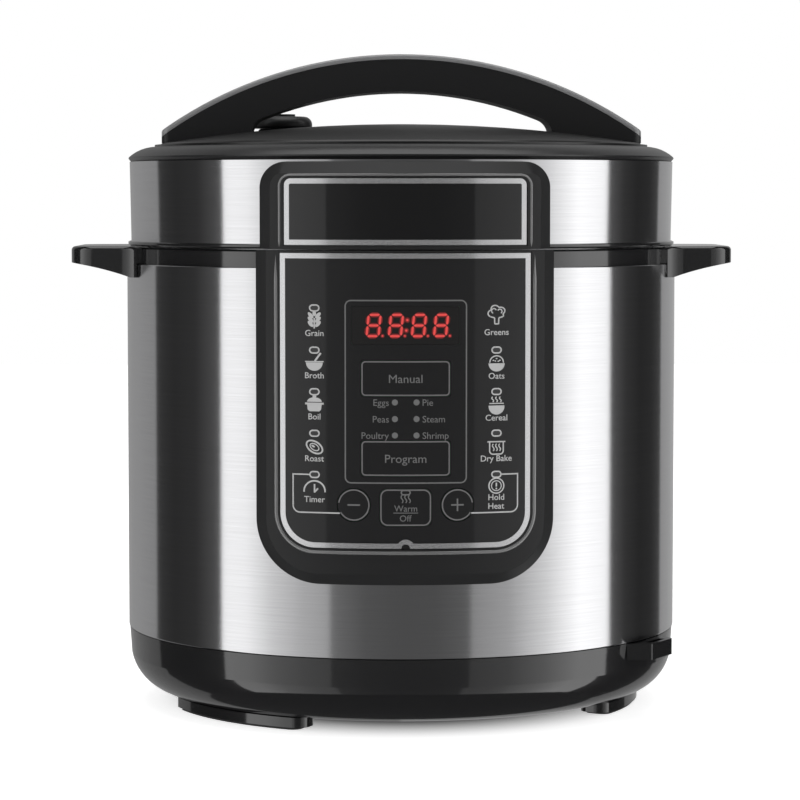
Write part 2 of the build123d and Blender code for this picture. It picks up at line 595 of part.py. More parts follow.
DOME_WALL = 2.4
with BuildPart() as lid_dome:
    with BuildSketch(Plane.XZ):
        with BuildLine():
            under = DOME_CROWN - DOME_WALL
            Line((0.0, under), (0.0, DOME_CROWN))
            ThreePointArc((0.0, DOME_CROWN), (60.0, dome_height(60.0)), (120.4, dome_height(120.4)))
            Polyline(
                (120.4, dome_height(120.4)), (121.2, FLANGE_TOP), (DOME_EDGE_R, FLANGE_TOP),
                (DOME_EDGE_R, LID_RIM_TOP + 0.05), (118.5, LID_RIM_TOP + 0.05),
                (118.5, dome_height(118.5, under)),
            )
            ThreePointArc((118.5, dome_height(118.5, under)), (60.0, dome_height(60.0, under)), (0.0, under))
        make_face()
    revolve(axis=Axis.Z)
    band(117.0, 119.6, 262.0, 279.6)
    drilled([FLOAT_AT], 6.5, 270.0, 300.0)
    drilled([VALVE_AT], 5.2, 270.0, 300.0)
    drilled([(-POST_X, 0.0), (POST_X, 0.0)], 1.9, 270.0, 300.0)
write(lid_dome, "lid_dome")

with BuildPart() as lid_posts:
    with BuildSketch(Plane.XY.offset(250.0)):
        with Locations((-POST_X, 0.0), (POST_X, 0.0)):
            Circle(5.0)
    extrude(amount=32.2)
    drilled([(-POST_X, 0.0), (POST_X, 0.0)], 1.75, 278.0, 290.0)
write(lid_posts, "lid_posts")

# ---------------------------------------------------------------- lid panel
with BuildPart() as lid_frame:
    plate(LID_FRAME_HALF, LID_LOW + 0.1, LID_FRAME_HIGH, 0.0, 12.0)
    wrap(LID_RING_R + 0.1, FRAME_R)
    lid_face = lid_frame.faces().sort_by(Axis.Y)[0]
    chamfer(lid_face.edges().filter_by(lambda e: e.center().Z > LID_SKIRT_LOW), 5.5)
    plate(LID_WINDOW_HALF, LID_WINDOW_LOW, LID_WINDOW_HIGH, 0.0, 3.5, mode=Mode.SUBTRACT)
write(lid_frame, "lid_frame")

with BuildPart() as lid_plate:
    plate(LID_WINDOW_HALF - 0.1, LID_WINDOW_LOW + 0.1, LID_WINDOW_HIGH - 0.1, 0.0, 3.4)
    wrap(LID_RING_R + 0.1, PLATE_R)
write(lid_plate, "lid_plate")

with BuildPart() as lid_trim:
    plate(LID_WINDOW_HALF - 0.5, LID_WINDOW_LOW + 0.4, LID_WINDOW_HIGH - 0.4, 0.0, 3.0)
    plate(LID_WINDOW_HALF - 2.8, LID_WINDOW_LOW + 2.8, LID_WINDOW_HIGH - 2.8, 0.0, 0.8, mode=Mode.SUBTRACT)
    wrap(PLATE_R, PLATE_R + 0.4)
write(lid_trim, "lid_trim")

# ---------------------------------------------------------------- lid handle
handle_centre = HANDLE_TOP - HANDLE_OUTER_R
grip_centre = HANDLE_GRIP_TOP - HANDLE_INNER_R
HANDLE_FOOT = FLANGE_TOP + 0.05  # underside of the handle's two ends, just above the lid's flange


def arch(outer_r, half_depth):
    """Sketch and extrude the handle's arch, up to an outer radius, and trim its plan and its foot."""
    with BuildSketch(Plane.XZ) as side_view:
        with Locations((0, handle_centre)):
            Circle(outer_r)
        with Locations((0, HANDLE_FOOT - 300.0)):
            Rectangle(500.0, 600.0, mode=Mode.SUBTRACT)
    extrude(side_view.sketch, amount=30.0, both=True)
    with BuildSketch(Plane.XY.offset(270.0)) as plan:
        with BuildLine():
            Spline((-HANDLE_REACH, -half_depth - 6), (0, -half_depth), (HANDLE_REACH, -half_depth - 6),
                   tangents=((1, 0.06), (1, -0.06)))
            Line((HANDLE_REACH, -half_depth - 6), (HANDLE_REACH, half_depth + 6))
            Spline((HANDLE_REACH, half_depth + 6), (0, half_depth), (-HANDLE_REACH, half_depth + 6),
                   tangents=((-1, -0.06), (-1, 0.06)))
            Line((-HANDLE_REACH, half_depth + 6), (-HANDLE_REACH, -half_depth - 6))
        make_face()
        fillet(plan.vertices(), 4.0)
    extrude(plan.sketch, amount=70.0, mode=Mode.INTERSECT)


with BuildPart() as handle_arch:
    arch(HANDLE_OUTER_R - 2.6, 18.0)
    with BuildSketch(Plane.XZ) as opening:
        with Locations((0, grip_centre)):
            Circle(HANDLE_INNER_R)
        with Locations((0, 270.0)):
            Rectangle(150.0, 120.0, mode=Mode.INTERSECT)
        fillet(opening.vertices().group_by(Axis.Y)[-1], 8.0)
    extrude(amount=40.0, both=True, mode=Mode.SUBTRACT)
    with BuildSketch(Plane.XZ):
        with BuildLine():
            lifted = DOME_CROWN + 0.03
            Polyline(
                (125.0, dome_height(125.0, lifted)), (125.0, 260.0), (0.0, 260.0), (0.0, lifted),
            )
            ThreePointArc((0.0, lifted), (60.0, dome_height(60.0, lifted)), (125.0, dome_height(125.0, lifted)))
        make_face()
    revolve(axis=Axis.Z, mode=Mode.SUBTRACT)
    drilled([(-POST_X, 0.0), (POST_X, 0.0)], 1.9, 270.0, 295.0)
write(handle_arch, "handle_arch")

with BuildPart() as handle_cap:
    arch(HANDLE_OUTER_R, 18.0)
    with BuildSketch(Plane.XZ):
        with Locations((0, handle_centre)):
            Circle(HANDLE_OUTER_R - 2.5)
    extrude(amount=40.0, both=True, mode=Mode.SUBTRACT)
    fillet(handle_cap.edges().filter_by(lambda e: e.center().Z > 318.0 and e.length > 200.0).group_by(Axis.Z)[-1], 1.6)
write(handle_cap, "handle_cap")

with BuildPart() as handle_screws:
    with BuildSketch(Plane.XY.offset(278.2)):
        with Locations((-POST_X, 0.0), (POST_X, 0.0)):
            Circle(1.7)
    extrude(amount=15.6)
write(handle_screws, "handle_screws")

# ---------------------------------------------------------------- valves in the lid
with BuildPart() as steam_pipe:
    with BuildSketch(Plane.XY.offset(247.0)):
        with Locations(VALVE_AT):
            Circle(4.0)
            Circle(1.6, mode=Mode.SUBTRACT)
    extrude(amount=43.4)
    with BuildSketch(Plane.XY.offset(254.2)):
        with Locations(VALVE_AT):
            Circle(8.0)
            Circle(3.9, mode=Mode.SUBTRACT)
    extrude(amount=4.0)
write(steam_pipe, "steam_pipe")

with BuildPart() as steam_filter:
    with BuildSketch(Plane.XY.offset(238.0)):
        with Locations(VALVE_AT):
            Circle(11.0)
            Circle(9.8, mode=Mode.SUBTRACT)
    extrude(amount=7.3)
    with BuildSketch(Plane.XY.offset(238.0)):
        with Locations(VALVE_AT):
            Circle(10.4)
            with PolarLocations(6.0, 8):
                Circle(1.1, mode=Mode.SUBTRACT)
    extrude(amount=1.2)
write(steam_filter, "steam_filter")

KNOB_LOW = 289.0
with BuildPart() as valve_knob:
    with BuildSketch(Plane.XY.offset(KNOB_LOW)):
        with Locations(VALVE_AT):
            Circle(14.6)
        with Locations((VALVE_AT[0] - 12.0, VALVE_AT[1] + 6.0)):
            Circle(9.0)
        make_hull()
    extrude(amount=6.0)
    fillet(valve_knob.edges().group_by(Axis.Z)[-1], 4.2)
    fillet(valve_knob.edges().group_by(Axis.Z)[0], 1.2)
    with BuildSketch(Plane.XY.offset(KNOB_LOW + 5.8)):
        with Locations(VALVE_AT):
            Circle(5.8)
    extrude(amount=1.4)
    drilled([VALVE_AT], 4.3, KNOB_LOW - 1.0, KNOB_LOW + 2.3)
write(valve_knob, "valve_knob")

with BuildPart() as float_pin:
    for radius, low, high in ((2.9, 241.0, 282.4), (5.0, 279.4, 282.4), (4.6, 252.6, 253.8), (5.4, 239.5, 242.5)):
        with BuildSketch(Plane.XY.offset(low)):
            with Locations(FLOAT_AT):
                Circle(radius)
        extrude(amount=high - low)
write(float_pin, "float_pin")
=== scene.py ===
"""Looks of an electric pressure cooker: finishes, printed panel, studio and camera around the CAD frame.

Everything is in metres in the CAD frame: +Z up, the control panel faces -Y, +X to its right. An
azimuth is an angle in degrees from the front (-Y) towards the right (+X).
"""

import logging
import math
from dataclasses import dataclass, field
from enum import Enum

import bmesh
import bpy
import numpy as np
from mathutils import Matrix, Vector
from mathutils.geometry import tessellate_polygon

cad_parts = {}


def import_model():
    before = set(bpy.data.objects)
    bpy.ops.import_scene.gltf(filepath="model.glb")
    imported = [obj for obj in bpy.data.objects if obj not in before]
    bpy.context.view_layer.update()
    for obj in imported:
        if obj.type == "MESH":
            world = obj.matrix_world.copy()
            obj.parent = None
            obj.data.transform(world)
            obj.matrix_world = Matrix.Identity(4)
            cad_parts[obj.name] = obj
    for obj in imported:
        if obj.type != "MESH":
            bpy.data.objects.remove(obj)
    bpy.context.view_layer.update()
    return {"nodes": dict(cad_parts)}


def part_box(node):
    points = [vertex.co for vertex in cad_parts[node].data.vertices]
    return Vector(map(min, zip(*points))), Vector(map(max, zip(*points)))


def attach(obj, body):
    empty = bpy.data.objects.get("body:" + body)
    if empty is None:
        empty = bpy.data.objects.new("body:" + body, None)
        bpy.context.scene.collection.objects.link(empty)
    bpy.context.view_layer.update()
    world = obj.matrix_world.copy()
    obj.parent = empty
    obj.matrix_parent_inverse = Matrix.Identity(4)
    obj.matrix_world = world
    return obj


LOG = logging.getLogger("cooker")
MM = 0.001
PRINT_LIFT = 0.07  # how far printed ink stands proud of the panel, in mm
CAPITAL_HEIGHT = 0.729  # height of a capital of the built-in font, in shares of its size
SAME_PLACE = 1e-7  # points closer than this are one, in metres
COAT_ROUGHNESS = 0.04
GRAIN_HEIGHT = 0.0001  # full height of a moulded grain, in metres
BRUSHING_HEIGHT = 0.00002  # full height of brushing


# ---------------------------------------------------------------- meshes
def make_mesh(name: str, verts: np.ndarray, faces: np.ndarray,
              smooth: bool = True) -> bpy.types.Object:
    """Make an object from whole arrays.

    Args:
        name: the object's name.
        verts: points, one row of x, y, z each.
        faces: rows of four or three vertex numbers.
        smooth: whether its faces shade smoothly.

    Returns:
        The linked object, at the origin.
    """
    mesh = bpy.data.meshes.new(name)
    mesh.vertices.add(len(verts))
    mesh.vertices.foreach_set("co", np.asarray(verts, np.float32).ravel())
    corners = faces.shape[1]
    mesh.loops.add(faces.size)
    mesh.loops.foreach_set("vertex_index", faces.ravel().astype(np.int32))
    mesh.polygons.add(len(faces))
    mesh.polygons.foreach_set("loop_start", (np.arange(len(faces)) * corners).astype(np.int32))
    mesh.polygons.foreach_set("loop_total", np.full(len(faces), corners, np.int32))
    mesh.update()
    mesh.validate()
    mesh.polygons.foreach_set("use_smooth", np.full(len(mesh.polygons), smooth))
    obj = bpy.data.objects.new(name, mesh)
    bpy.context.scene.collection.objects.link(obj)
    return obj


def grid_faces(rows: int, cols: int, close_rows: bool, close_cols: bool) -> np.ndarray:
    """Join a grid of points into quads.

    Args:
        rows: how many points the first parameter has.
        cols: how many points the second parameter has.
        close_rows: whether the last row joins the first.
        close_cols: whether the last column joins the first.

    Returns:
        Rows of four vertex numbers; point (i, j) is number i * cols + j.
    """
    i = np.arange(rows if close_rows else rows - 1)
    j = np.arange(cols if close_cols else cols - 1)
    a, b = np.meshgrid(i, j, indexing="ij")
    c, d = (a + 1) % rows, (b + 1) % cols
    return np.stack([a * cols + b, c * cols + b, c * cols + d, a * cols + d], -1).reshape(-1, 4)


def around(azimuth: np.ndarray | float, radius: np.ndarray | float) -> tuple[np.ndarray, np.ndarray]:
    """Return x = r sin(a) and y = -r cos(a) for an azimuth in degrees and a radius."""
    a = np.radians(azimuth)
    return radius * np.sin(a), -radius * np.cos(a)


def tidy_normals(obj: bpy.types.Object) -> None:
    """Merge an object's doubled points and turn its faces outwards."""
    work = bmesh.new()
    work.from_mesh(obj.data)
    bmesh.ops.remove_doubles(work, verts=work.verts, dist=SAME_PLACE)
    bmesh.ops.recalc_face_normals(work, faces=work.faces)
    work.to_mesh(obj.data)
    work.free()


# ---------------------------------------------------------------- finishes
def start_material(name: str) -> tuple[bpy.types.Material, bpy.types.NodeTree, bpy.types.Node]:
    """Make a material that uses nodes.

    Args:
        name: the material's name.

    Returns:
        The material, its node tree and its Principled shader.
    """
    material = bpy.data.materials.new(name)
    material.use_nodes = True
    return material, material.node_tree, material.node_tree.nodes["Principled BSDF"]


def set_sockets(node: bpy.types.Node, values: dict[str, float | tuple[float, ...]]) -> None:
    """Set the inputs of a node that are given by name."""
    for socket, value in values.items():
        node.inputs[socket].default_value = value


def join(tree: bpy.types.NodeTree, *links: tuple[bpy.types.Node, str, bpy.types.Node, str | int]) -> None:
    """Link nodes.

    Args:
        tree: the tree that holds them.
        links: for each link a node, the name of its output, another node and that node's input.
    """
    for source, output, target, entry in links:
        tree.links.new(source.outputs[output], target.inputs[entry])


def add_math(group: bpy.types.NodeTree, operation: str, second: float | None = None,
             third: float | None = None) -> bpy.types.Node:
    """Add a Math node.

    Args:
        group: the tree that it goes into.
        operation: what it does.
        second: its second value, where that is constant.
        third: its third value, where that is constant.

    Returns:
        The node.
    """
    node = group.nodes.new("ShaderNodeMath")
    node.operation = operation
    for place, value in ((1, second), (2, third)):
        if value is not None:
            node.inputs[place].default_value = value
    return node


def new_group(name: str, inputs: list[tuple[str, str]], outputs: list[tuple[str, str]]) -> bpy.types.NodeTree:
    """Make an empty shader node group.

    Args:
        name: the group's name.
        inputs: name and socket type of each input.
        outputs: name and socket type of each output.

    Returns:
        The group, with its Group Input and Group Output nodes placed.
    """
    group = bpy.data.node_groups.new(name, "ShaderNodeTree")
    for label, kind in inputs:
        group.interface.new_socket(name=label, in_out="INPUT", socket_type=kind)
    for label, kind in outputs:
        group.interface.new_socket(name=label, in_out="OUTPUT", socket_type=kind)
    group.nodes.new("NodeGroupInput")
    group.nodes.new("NodeGroupOutput")
    return group


SURFACE_OUTPUTS = [
    ("Color", "NodeSocketColor"), ("Roughness", "NodeSocketFloat"), ("Height", "NodeSocketFloat"),
]


def moulded_grain() -> bpy.types.NodeTree:
    """Return the group for moulded plastic: a fine noise that varies height, colour and gloss."""
    if "Moulded grain" in bpy.data.node_groups:
        return bpy.data.node_groups["Moulded grain"]
    group = new_group(
        "Moulded grain",
        [("Place", "NodeSocketVector"), ("Scale", "NodeSocketFloat"), ("Depth", "NodeSocketFloat"),
         ("Vary", "NodeSocketFloat"), ("Color", "NodeSocketColor"), ("Roughness", "NodeSocketFloat")],
        SURFACE_OUTPUTS,
    )
    source, result = group.nodes["Group Input"], group.nodes["Group Output"]
    noise = group.nodes.new("ShaderNodeTexNoise")
    noise.inputs["Detail"].default_value = 3
    height = add_math(group, "MULTIPLY")
    rough = add_math(group, "MULTIPLY_ADD")
    centred = add_math(group, "SUBTRACT", 0.5)
    gain = add_math(group, "MULTIPLY_ADD", third=1.0)
    tint = group.nodes.new("ShaderNodeVectorMath")
    tint.operation = "SCALE"
    join(
        group,
        (source, "Place", noise, "Vector"), (source, "Scale", noise, "Scale"),
        (noise, "Fac", height, 0), (source, "Depth", height, 1),
        (noise, "Fac", rough, 0), (source, "Vary", rough, 1), (source, "Roughness", rough, 2),
        (noise, "Fac", centred, 0), (centred, "Value", gain, 0), (source, "Vary", gain, 1),
        (source, "Color", tint, 0), (gain, "Value", tint, "Scale"),
        (tint, "Vector", result, "Color"), (height, "Value", result, "Height"),
        (rough, "Value", result, "Roughness"),
    )
    return group


def brushed_streaks() -> bpy.types.NodeTree:
    """Return the group for brushing: noise squeezed along Z, so that streaks run level around the pot."""
    if "Brushed streaks" in bpy.data.node_groups:
        return bpy.data.node_groups["Brushed streaks"]
    group = new_group(
        "Brushed streaks",
        [("Place", "NodeSocketVector"), ("Color", "NodeSocketColor"), ("Roughness", "NodeSocketFloat"),
         ("Strength", "NodeSocketFloat")],
        SURFACE_OUTPUTS,
    )
    source, result = group.nodes["Group Input"], group.nodes["Group Output"]
    squeeze = group.nodes.new("ShaderNodeMapping")
    squeeze.inputs["Scale"].default_value = (22.0, 22.0, 2600.0)
    noise = group.nodes.new("ShaderNodeTexNoise")
    set_sockets(noise, {"Scale": 1.0, "Detail": 4.0, "Roughness": 0.65})
    centred = add_math(group, "SUBTRACT", 0.5)
    amount = add_math(group, "MULTIPLY")
    gain = add_math(group, "MULTIPLY_ADD", 3.0, 1.0)
    rough = add_math(group, "ADD")
    tint = group.nodes.new("ShaderNodeVectorMath")
    tint.operation = "SCALE"
    join(
        group,
        (source, "Place", squeeze, "Vector"), (squeeze, "Vector", noise, "Vector"),
        (noise, "Fac", centred, 0), (centred, "Value", amount, 0), (source, "Strength", amount, 1),
        (amount, "Value", gain, 0), (source, "Color", tint, 0), (gain, "Value", tint, "Scale"),
        (amount, "Value", rough, 0), (source, "Roughness", rough, 1),
        (tint, "Vector", result, "Color"), (rough, "Value", result, "Roughness"),
        (noise, "Fac", result, "Height"),
    )
    return group


@dataclass(frozen=True)
class Finish:
    """A moulded or cast finish: a colour and gloss that a fine noise varies, with a faint grain."""

    name: str
    color: tuple[float, float, float]
    roughness: float
    metallic: float = 0.0
    coat: float = 0.0
    specular: float = 0.5
    grain: float = 0.02
    grain_scale: float = 900.0
    vary: float = 0.03
    glow: float = 0.0
    alpha: float = 1.0

    def build(self) -> bpy.types.Material:
        """Make the material, or return the one made before."""
        if self.name in bpy.data.materials:
            return bpy.data.materials[self.name]
        material, tree, shader = start_material(self.name)
        set_sockets(shader, {
            "Metallic": self.metallic, "Coat Weight": self.coat, "Coat Roughness": COAT_ROUGHNESS,
            "Specular IOR Level": self.specular, "Alpha": self.alpha,
        })
        place = tree.nodes.new("ShaderNodeTexCoord")
        grain = tree.nodes.new("ShaderNodeGroup")
        grain.node_tree = moulded_grain()
        set_sockets(grain, {
            "Scale": self.grain_scale, "Depth": self.grain, "Vary": self.vary,
            "Color": (*self.color, 1), "Roughness": self.roughness,
        })
        bump = tree.nodes.new("ShaderNodeBump")
        bump.inputs["Distance"].default_value = GRAIN_HEIGHT
        join(
            tree,
            (place, "Object", grain, "Place"), (grain, "Color", shader, "Base Color"),
            (grain, "Roughness", shader, "Roughness"), (grain, "Height", bump, "Height"),
            (bump, "Normal", shader, "Normal"),
        )
        if self.glow:
            join(tree, (grain, "Color", shader, "Emission Color"))
            shader.inputs["Emission Strength"].default_value = self.glow
        return material


@dataclass(frozen=True)
class BrushedSteel:
    """Steel brushed around the pot: fine level streaks, and highlights drawn out up and down."""

    name: str
    color: tuple[float, float, float]
    roughness: float
    stretch: float
    streaks: float

    def build(self) -> bpy.types.Material:
        """Make the material, or return the one made before."""
        if self.name in bpy.data.materials:
            return bpy.data.materials[self.name]
        material, tree, shader = start_material(self.name)
        set_sockets(shader, {"Metallic": 1.0, "Anisotropic": self.stretch, "Anisotropic Rotation": 0.25})
        tangent = tree.nodes.new("ShaderNodeTangent")
        tangent.direction_type = "RADIAL"
        tangent.axis = "Z"
        place = tree.nodes.new("ShaderNodeTexCoord")
        brushing = tree.nodes.new("ShaderNodeGroup")
        brushing.node_tree = brushed_streaks()
        set_sockets(brushing, {
            "Color": (*self.color, 1), "Roughness": self.roughness, "Strength": self.streaks,
        })
        bump = tree.nodes.new("ShaderNodeBump")
        set_sockets(bump, {"Distance": BRUSHING_HEIGHT, "Strength": 0.35})
        join(
            tree,
            (place, "Object", brushing, "Place"), (brushing, "Color", shader, "Base Color"),
            (brushing, "Roughness", shader, "Roughness"), (brushing, "Height", bump, "Height"),
            (bump, "Normal", shader, "Normal"), (tangent, "Tangent", shader, "Tangent"),
        )
        return material


GRAINED = 0.12  # how much a finish with a visible grain varies in colour and gloss

GLOSS_BLACK = Finish("Gloss black plastic", (0.010, 0.010, 0.0105), 0.06, specular=0.95)
FRAME_BLACK = Finish("Frame black plastic", (0.018, 0.018, 0.0185), 0.36, specular=0.3, vary=GRAINED,
                     grain=0.15)
LID_BLACK = Finish("Lid black plastic", (0.014, 0.014, 0.0145), 0.26, specular=0.6, vary=GRAINED, grain=0.1)
KNOB_BLACK = Finish("Knob black plastic", (0.022, 0.022, 0.0225), 0.34, vary=GRAINED, grain=0.2)
PANEL_BLACK = Finish("Panel black", (0.0155, 0.0155, 0.016), 0.05, specular=0.5)
LID_PANEL_BLACK = Finish("Lid panel black", (0.006, 0.006, 0.0063), 0.04, specular=0.8)
KEY_BLACK = Finish("Key black", (0.0155, 0.0155, 0.016), 0.06, specular=0.5)
HANDLE_BLACK = Finish("Handle black plastic", (0.014, 0.014, 0.015), 0.42, vary=GRAINED, grain=0.5)
# painted highlight: the cap's mid grey colour stands in for the sheen of light from above on the top of a
# black cap
HANDLE_CAP_PAINTED_SHEEN = Finish("Handle cap plastic", (0.30, 0.30, 0.305), 0.30, specular=0.9, vary=GRAINED, grain=0.3,
                     coat=0.5)
INNER_BLACK = Finish("Inner black plastic", (0.02, 0.02, 0.02), 0.5, vary=GRAINED, grain=0.6)
TRIM_SILVER = Finish("Trim silver", (0.84, 0.84, 0.85), 0.13, metallic=0.85, grain=0.0)
STEEL = BrushedSteel("Brushed steel", (0.60, 0.60, 0.61), 0.16, 0.95, 0.09)
POT_STEEL = BrushedSteel("Pot steel", (0.66, 0.66, 0.67), 0.26, 0.6, 0.06)
INNER_STEEL = BrushedSteel("Inner steel", (0.55, 0.55, 0.56), 0.34, 0.5, 0.08)
BRIGHT_STEEL = Finish("Bright steel", (0.70, 0.70, 0.71), 0.18, metallic=1.0)
CAST_ALUMINIUM = Finish("Cast aluminium", (0.62, 0.62, 0.63), 0.4, metallic=1.0, vary=GRAINED, grain=0.5)
SILICONE = Finish("Silicone", (0.62, 0.62, 0.60), 0.45, vary=GRAINED, grain=0.2)
RUBBER = Finish("Foot rubber", (0.03, 0.03, 0.03), 0.75, vary=GRAINED, grain=0.6)
BOARD_GREEN = Finish("Board green", (0.02, 0.14, 0.05), 0.4, coat=0.3, vary=GRAINED, grain=0.3)
CUP_CLEAR = Finish("Cup clear plastic", (0.80, 0.82, 0.83), 0.08, alpha=0.22)
SMOKED = Finish("Smoked window", (0.0155, 0.015, 0.015), 0.05, specular=0.5)
# painted highlight: the rolled edge is the frame's black plastic, coloured light grey so that it shows as the
# bright line along the window's edge
BEAD_PAINTED_HIGHLIGHT = Finish("Rolled edge grey", (0.15, 0.15, 0.15), 0.22, specular=1.0, coat=1.0)
LAMP_LENS = Finish("Lamp lens", (0.045, 0.045, 0.045), 0.3)
LED_RED = Finish("Display red", (0.60, 0.05, 0.046), 0.4, glow=0.46)
LED_HALO = Finish("Display halo", (0.11, 0.007, 0.007), 0.4, glow=0.7)
INK_LIGHT = Finish("Ink light grey", (0.52, 0.52, 0.52), 0.6)
INK_MID = Finish("Ink mid grey", (0.16, 0.16, 0.16), 0.6)

NODE_FINISHES = {
    STEEL: ("body_sleeve", "lid_skirt"),
    GLOSS_BLACK: (
        "base_shell", "collar", "foot_1", "foot_2", "foot_3", "ladle_bracket", "lid_lower_ring",
        "side_grip_left", "side_grip_right",
    ),
    FRAME_BLACK: ("front_frame", "lid_frame"),
    LID_BLACK: ("lid_rim", "lid_dome"),
    KNOB_BLACK: ("valve_knob",),
    PANEL_BLACK: ("panel_plate",),
    LID_PANEL_BLACK: ("lid_plate",),
    KEY_BLACK: ("key_heat", "key_menu", "key_off", "key_minus", "key_plus"),
    HANDLE_BLACK: ("handle_arch",),
    HANDLE_CAP_PAINTED_SHEEN: ("handle_cap",),
    TRIM_SILVER: ("panel_trim", "lid_trim"),
    SMOKED: ("display_window",),
    LAMP_LENS: ("status_lamps",),
    CUP_CLEAR: ("condensation_cup",),
    INNER_BLACK: (
        "bottom_plate", "cup_holder", "board_carrier", "lid_posts", "inlet_housing", "tact_switches",
        "power_relay", "pressure_switch", "transformer", "thermal_fuse", "display_module",
    ),
    RUBBER: ("foot_pads",),
    SILICONE: ("sealing_ring",),
    POT_STEEL: ("inner_pot",),
    INNER_STEEL: ("outer_pot", "inner_lid", "support_tray", "sensor_bracket"),
    CAST_ALUMINIUM: ("heating_plate",),
    BRIGHT_STEEL: (
        "float_pin", "steam_pipe", "steam_filter", "sensor_probe", "sensor_spring", "bottom_screws",
        "handle_screws", "inlet_pins", "heating_element",
    ),
    BOARD_GREEN: ("control_board", "power_board"),
}


def dress_nodes(nodes: dict[str, bpy.types.Object]) -> None:
    """Give every CAD node its finish.

    Args:
        nodes: the frame's nodes by name.
    """
    for finish, names in NODE_FINISHES.items():
        for name in names:
            nodes[name].data.materials.clear()
            nodes[name].data.materials.append(finish.build())
            LOG.info("%s: %s", name, finish.name)


# ---------------------------------------------------------------- printing
def arc_run(x: float, z: float, radius: float, start: float, end: float, steps: int = 24) -> np.ndarray:
    """Points on a circle about (x, z), from one angle to another, in degrees anticlockwise from +x."""
    angle = np.radians(np.linspace(start, end, steps))
    return np.stack([x + radius * np.cos(angle), z + radius * np.sin(angle)], -1)


def straight_run(start: tuple[float, float], end: tuple[float, float], steps: int = 12) -> np.ndarray:
    """Evenly spaced points between two points."""
    return np.linspace(start, end, steps)


def rounded_run(x: float, z: float, width: float, height: float, corner: float) -> np.ndarray:
    """Closed run round a rectangle whose corners are quarter circles, anticlockwise."""
    across, up = width / 2 - corner, height / 2 - corner
    corners = [
        arc_run(x + sx * across, z + sz * up, corner, turn, turn + 90, 8)
        for sx, sz, turn in ((1, 1, 0), (-1, 1, 90), (-1, -1, 180), (1, -1, 270))
    ]
    sides = [
        straight_run(corners[i][-1], corners[(i + 1) % 4][0], 14)[1:-1] for i in range(4)
    ]
    return np.concatenate([run for pair in zip(corners, sides) for run in pair])


def wave_run(x: float, low: float, high: float, swing: float) -> np.ndarray:
    """One wave up from low to high: x + swing sin(2 pi t), t running from 0 to 1."""
    t = np.linspace(0, 1, 18)
    return np.stack([x + swing * np.sin(2 * np.pi * t), low + (high - low) * t], -1)


def turned(points: np.ndarray, degrees: float) -> np.ndarray:
    """Turn flat points about 0, 0, anticlockwise."""
    c, s = math.cos(math.radians(degrees)), math.sin(math.radians(degrees))
    return points @ np.array([[c, s], [-s, c]])


def flat_words(words: str, bold: float) -> tuple[np.ndarray, np.ndarray]:
    """Make words in the built-in font into flat triangles.

    Args:
        words: what they say.
        bold: how far the outlines are pushed out, in shares of the font size.

    Returns:
        Points, centred across and standing on 0, for a capital of height 1, and their triangles.
    """
    curve = bpy.data.curves.new("words", "FONT")
    curve.body, curve.resolution_u, curve.offset = words, 3, bold
    holder = bpy.data.objects.new("words", curve)
    mesh = bpy.data.meshes.new_from_object(holder)
    mesh.calc_loop_triangles()
    points = np.zeros(len(mesh.vertices) * 3, np.float32)
    mesh.vertices.foreach_get("co", points)
    triangles = np.zeros(len(mesh.loop_triangles) * 3, np.int32)
    mesh.loop_triangles.foreach_get("vertices", triangles)
    points = points.reshape(-1, 3)[:, :2].astype(float)
    points[:, 0] -= (points[:, 0].min() + points[:, 0].max()) / 2
    bpy.data.objects.remove(holder)
    bpy.data.meshes.remove(mesh)
    return points / CAPITAL_HEIGHT, triangles.reshape(-1, 3)


